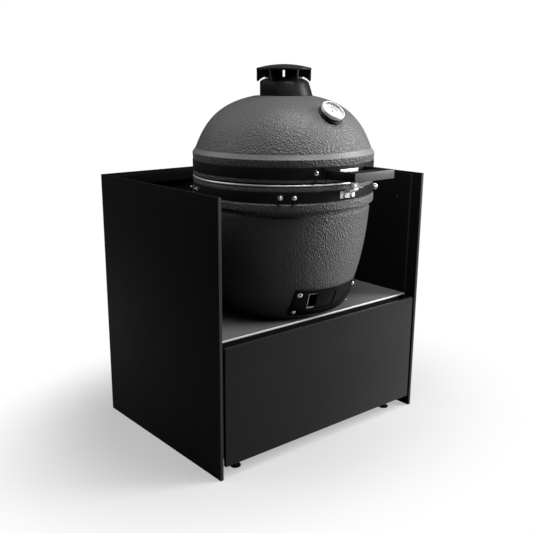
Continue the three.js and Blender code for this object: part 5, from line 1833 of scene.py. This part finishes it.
class GrillTableColours(bpy.types.PropertyGroup):
    """Colours of the finishes."""

    board: colour("Board", (0.0078, 0.0078, 0.008), "Black board of the cabinet")
    # Painted highlight: a lighter copy of the board colour for the boards' front edges, where the
    # front light falls
    board_edge: colour("Board Edge", (0.032, 0.032, 0.034), "Edge banding of the boards")
    drawer: colour("Drawer", (0.016, 0.016, 0.0164), "Front of the drawer")
    drawer_box: colour("Drawer Box", (0.05, 0.05, 0.052), "Boards of the drawer's box")
    shelf: colour("Shelf", (0.1, 0.1, 0.102), "Top of the shelf")
    trim: colour("Trim", (0.95, 0.95, 0.96), "Strip on the shelf's edge")
    ceramic: colour("Ceramic", (0.115, 0.1155, 0.115), "Glaze of the kamado")
    iron: colour("Neck", (0.013, 0.013, 0.013), "Cast neck")
    # Painted highlight: the cap's iron is a lighter copy of the neck's
    cap: colour("Cap", (0.0195, 0.0195, 0.0195), "Cast cap")
    grate: colour("Grate", (0.03, 0.029, 0.028), "Cast grates")
    steel: colour("Steel", (0.014, 0.014, 0.014), "Coated bands and brackets")
    vent: colour("Vent", (0.0045, 0.0045, 0.0045), "Coated frame of the draft door")
    handle: colour("Handle", (0.009, 0.009, 0.0095), "Handle bar")
    # Painted highlight: a lighter copy of the handle's colour for its front face, where the front
    # light falls
    handle_face: colour("Handle Front", (0.12, 0.12, 0.122), "Front face of the handle bar")
    bright: colour("Bright", (0.82, 0.82, 0.83), "Stainless parts and bolts")
    bolts: colour("Bolts", (0.5, 0.5, 0.51), "Heads of the bolts and screws")
    zinc: colour("Zinc", (0.42, 0.43, 0.45), "Runners, springs and the latch's lever")
    clay: colour("Clay", (0.42, 0.36, 0.28), "Firebox and fire ring")
    pale_felt: colour("Pale Felt", (0.9, 0.9, 0.89), "Braid on the base's rim")
    dark_felt: colour("Dark Felt", (0.03, 0.03, 0.03), "Felt under the lid")
    rubber: colour("Rubber", (0.012, 0.012, 0.012), "Feet, screws and the dial's mount")
    dial: colour("Dial", (0.72, 0.72, 0.71), "Face of the thermometer")
    ink: colour("Ink", (0.3, 0.3, 0.3), "Marks on the dial")
    # Painted shade: colour of the wide grey arc on the dial, which stands in for shade, not a
    # printed scale
    scale: colour("Scale Arc", (0.14, 0.14, 0.14), "Grey arc of the dial's scale")
    needle: colour("Needle", (0.09, 0.02, 0.018), "Needle of the thermometer")
    glass: colour("Glass", (1.0, 1.0, 1.0), "Lens of the thermometer")


class GRILLTABLE_PT_sidebar(bpy.types.Panel):
    """Lists the sizes, the colours and every step of the grill table."""

    bl_label = "Grill Table"
    bl_idname = "GRILLTABLE_PT_sidebar"
    bl_space_type = "VIEW_3D"
    bl_region_type = "UI"
    bl_category = "Grill Table"

    def draw(self, context):
        for group in (context.scene.grill_table_sizes, context.scene.grill_table_colours):
            box = self.layout.box()
            for name in group.__annotations__:
                box.prop(group, name)
        for operator in OPERATORS:
            self.layout.operator(operator.bl_idname)


OPERATORS = (
    GRILLTABLE_OT_stage,
    GRILLTABLE_OT_boards,
    GRILLTABLE_OT_shelf,
    GRILLTABLE_OT_feet,
    GRILLTABLE_OT_drawer,
    GRILLTABLE_OT_runners,
    GRILLTABLE_OT_base,
    GRILLTABLE_OT_fire,
    GRILLTABLE_OT_lower_band,
    GRILLTABLE_OT_hinge,
    GRILLTABLE_OT_draft,
    GRILLTABLE_OT_latch,
    GRILLTABLE_OT_lid,
    GRILLTABLE_OT_upper_band,
    GRILLTABLE_OT_handle,
    GRILLTABLE_OT_chimney,
    GRILLTABLE_OT_thermometer,
)
CLASSES = (GrillTableSizes, GrillTableColours, *OPERATORS, GRILLTABLE_PT_sidebar)


def register():
    for made in CLASSES:
        bpy.utils.register_class(made)
    bpy.types.Scene.grill_table_sizes = bpy.props.PointerProperty(type=GrillTableSizes)
    bpy.types.Scene.grill_table_colours = bpy.props.PointerProperty(type=GrillTableColours)


def unregister():
    del bpy.types.Scene.grill_table_colours
    del bpy.types.Scene.grill_table_sizes
    for made in reversed(CLASSES):
        bpy.utils.unregister_class(made)


def main():
    register()
    bpy.ops.grilltable.stage()
    bpy.ops.grilltable.boards()
    bpy.ops.grilltable.shelf()
    bpy.ops.grilltable.feet()
    bpy.ops.grilltable.drawer()
    bpy.ops.grilltable.runners()
    bpy.ops.grilltable.base()
    bpy.ops.grilltable.fire()
    bpy.ops.grilltable.lower_band()
    bpy.ops.grilltable.hinge()
    bpy.ops.grilltable.draft()
    bpy.ops.grilltable.latch()
    bpy.ops.grilltable.lid()
    bpy.ops.grilltable.upper_band()
    bpy.ops.grilltable.handle()
    bpy.ops.grilltable.chimney()
    bpy.ops.grilltable.thermometer()


if __name__ == "__main__":
    main()
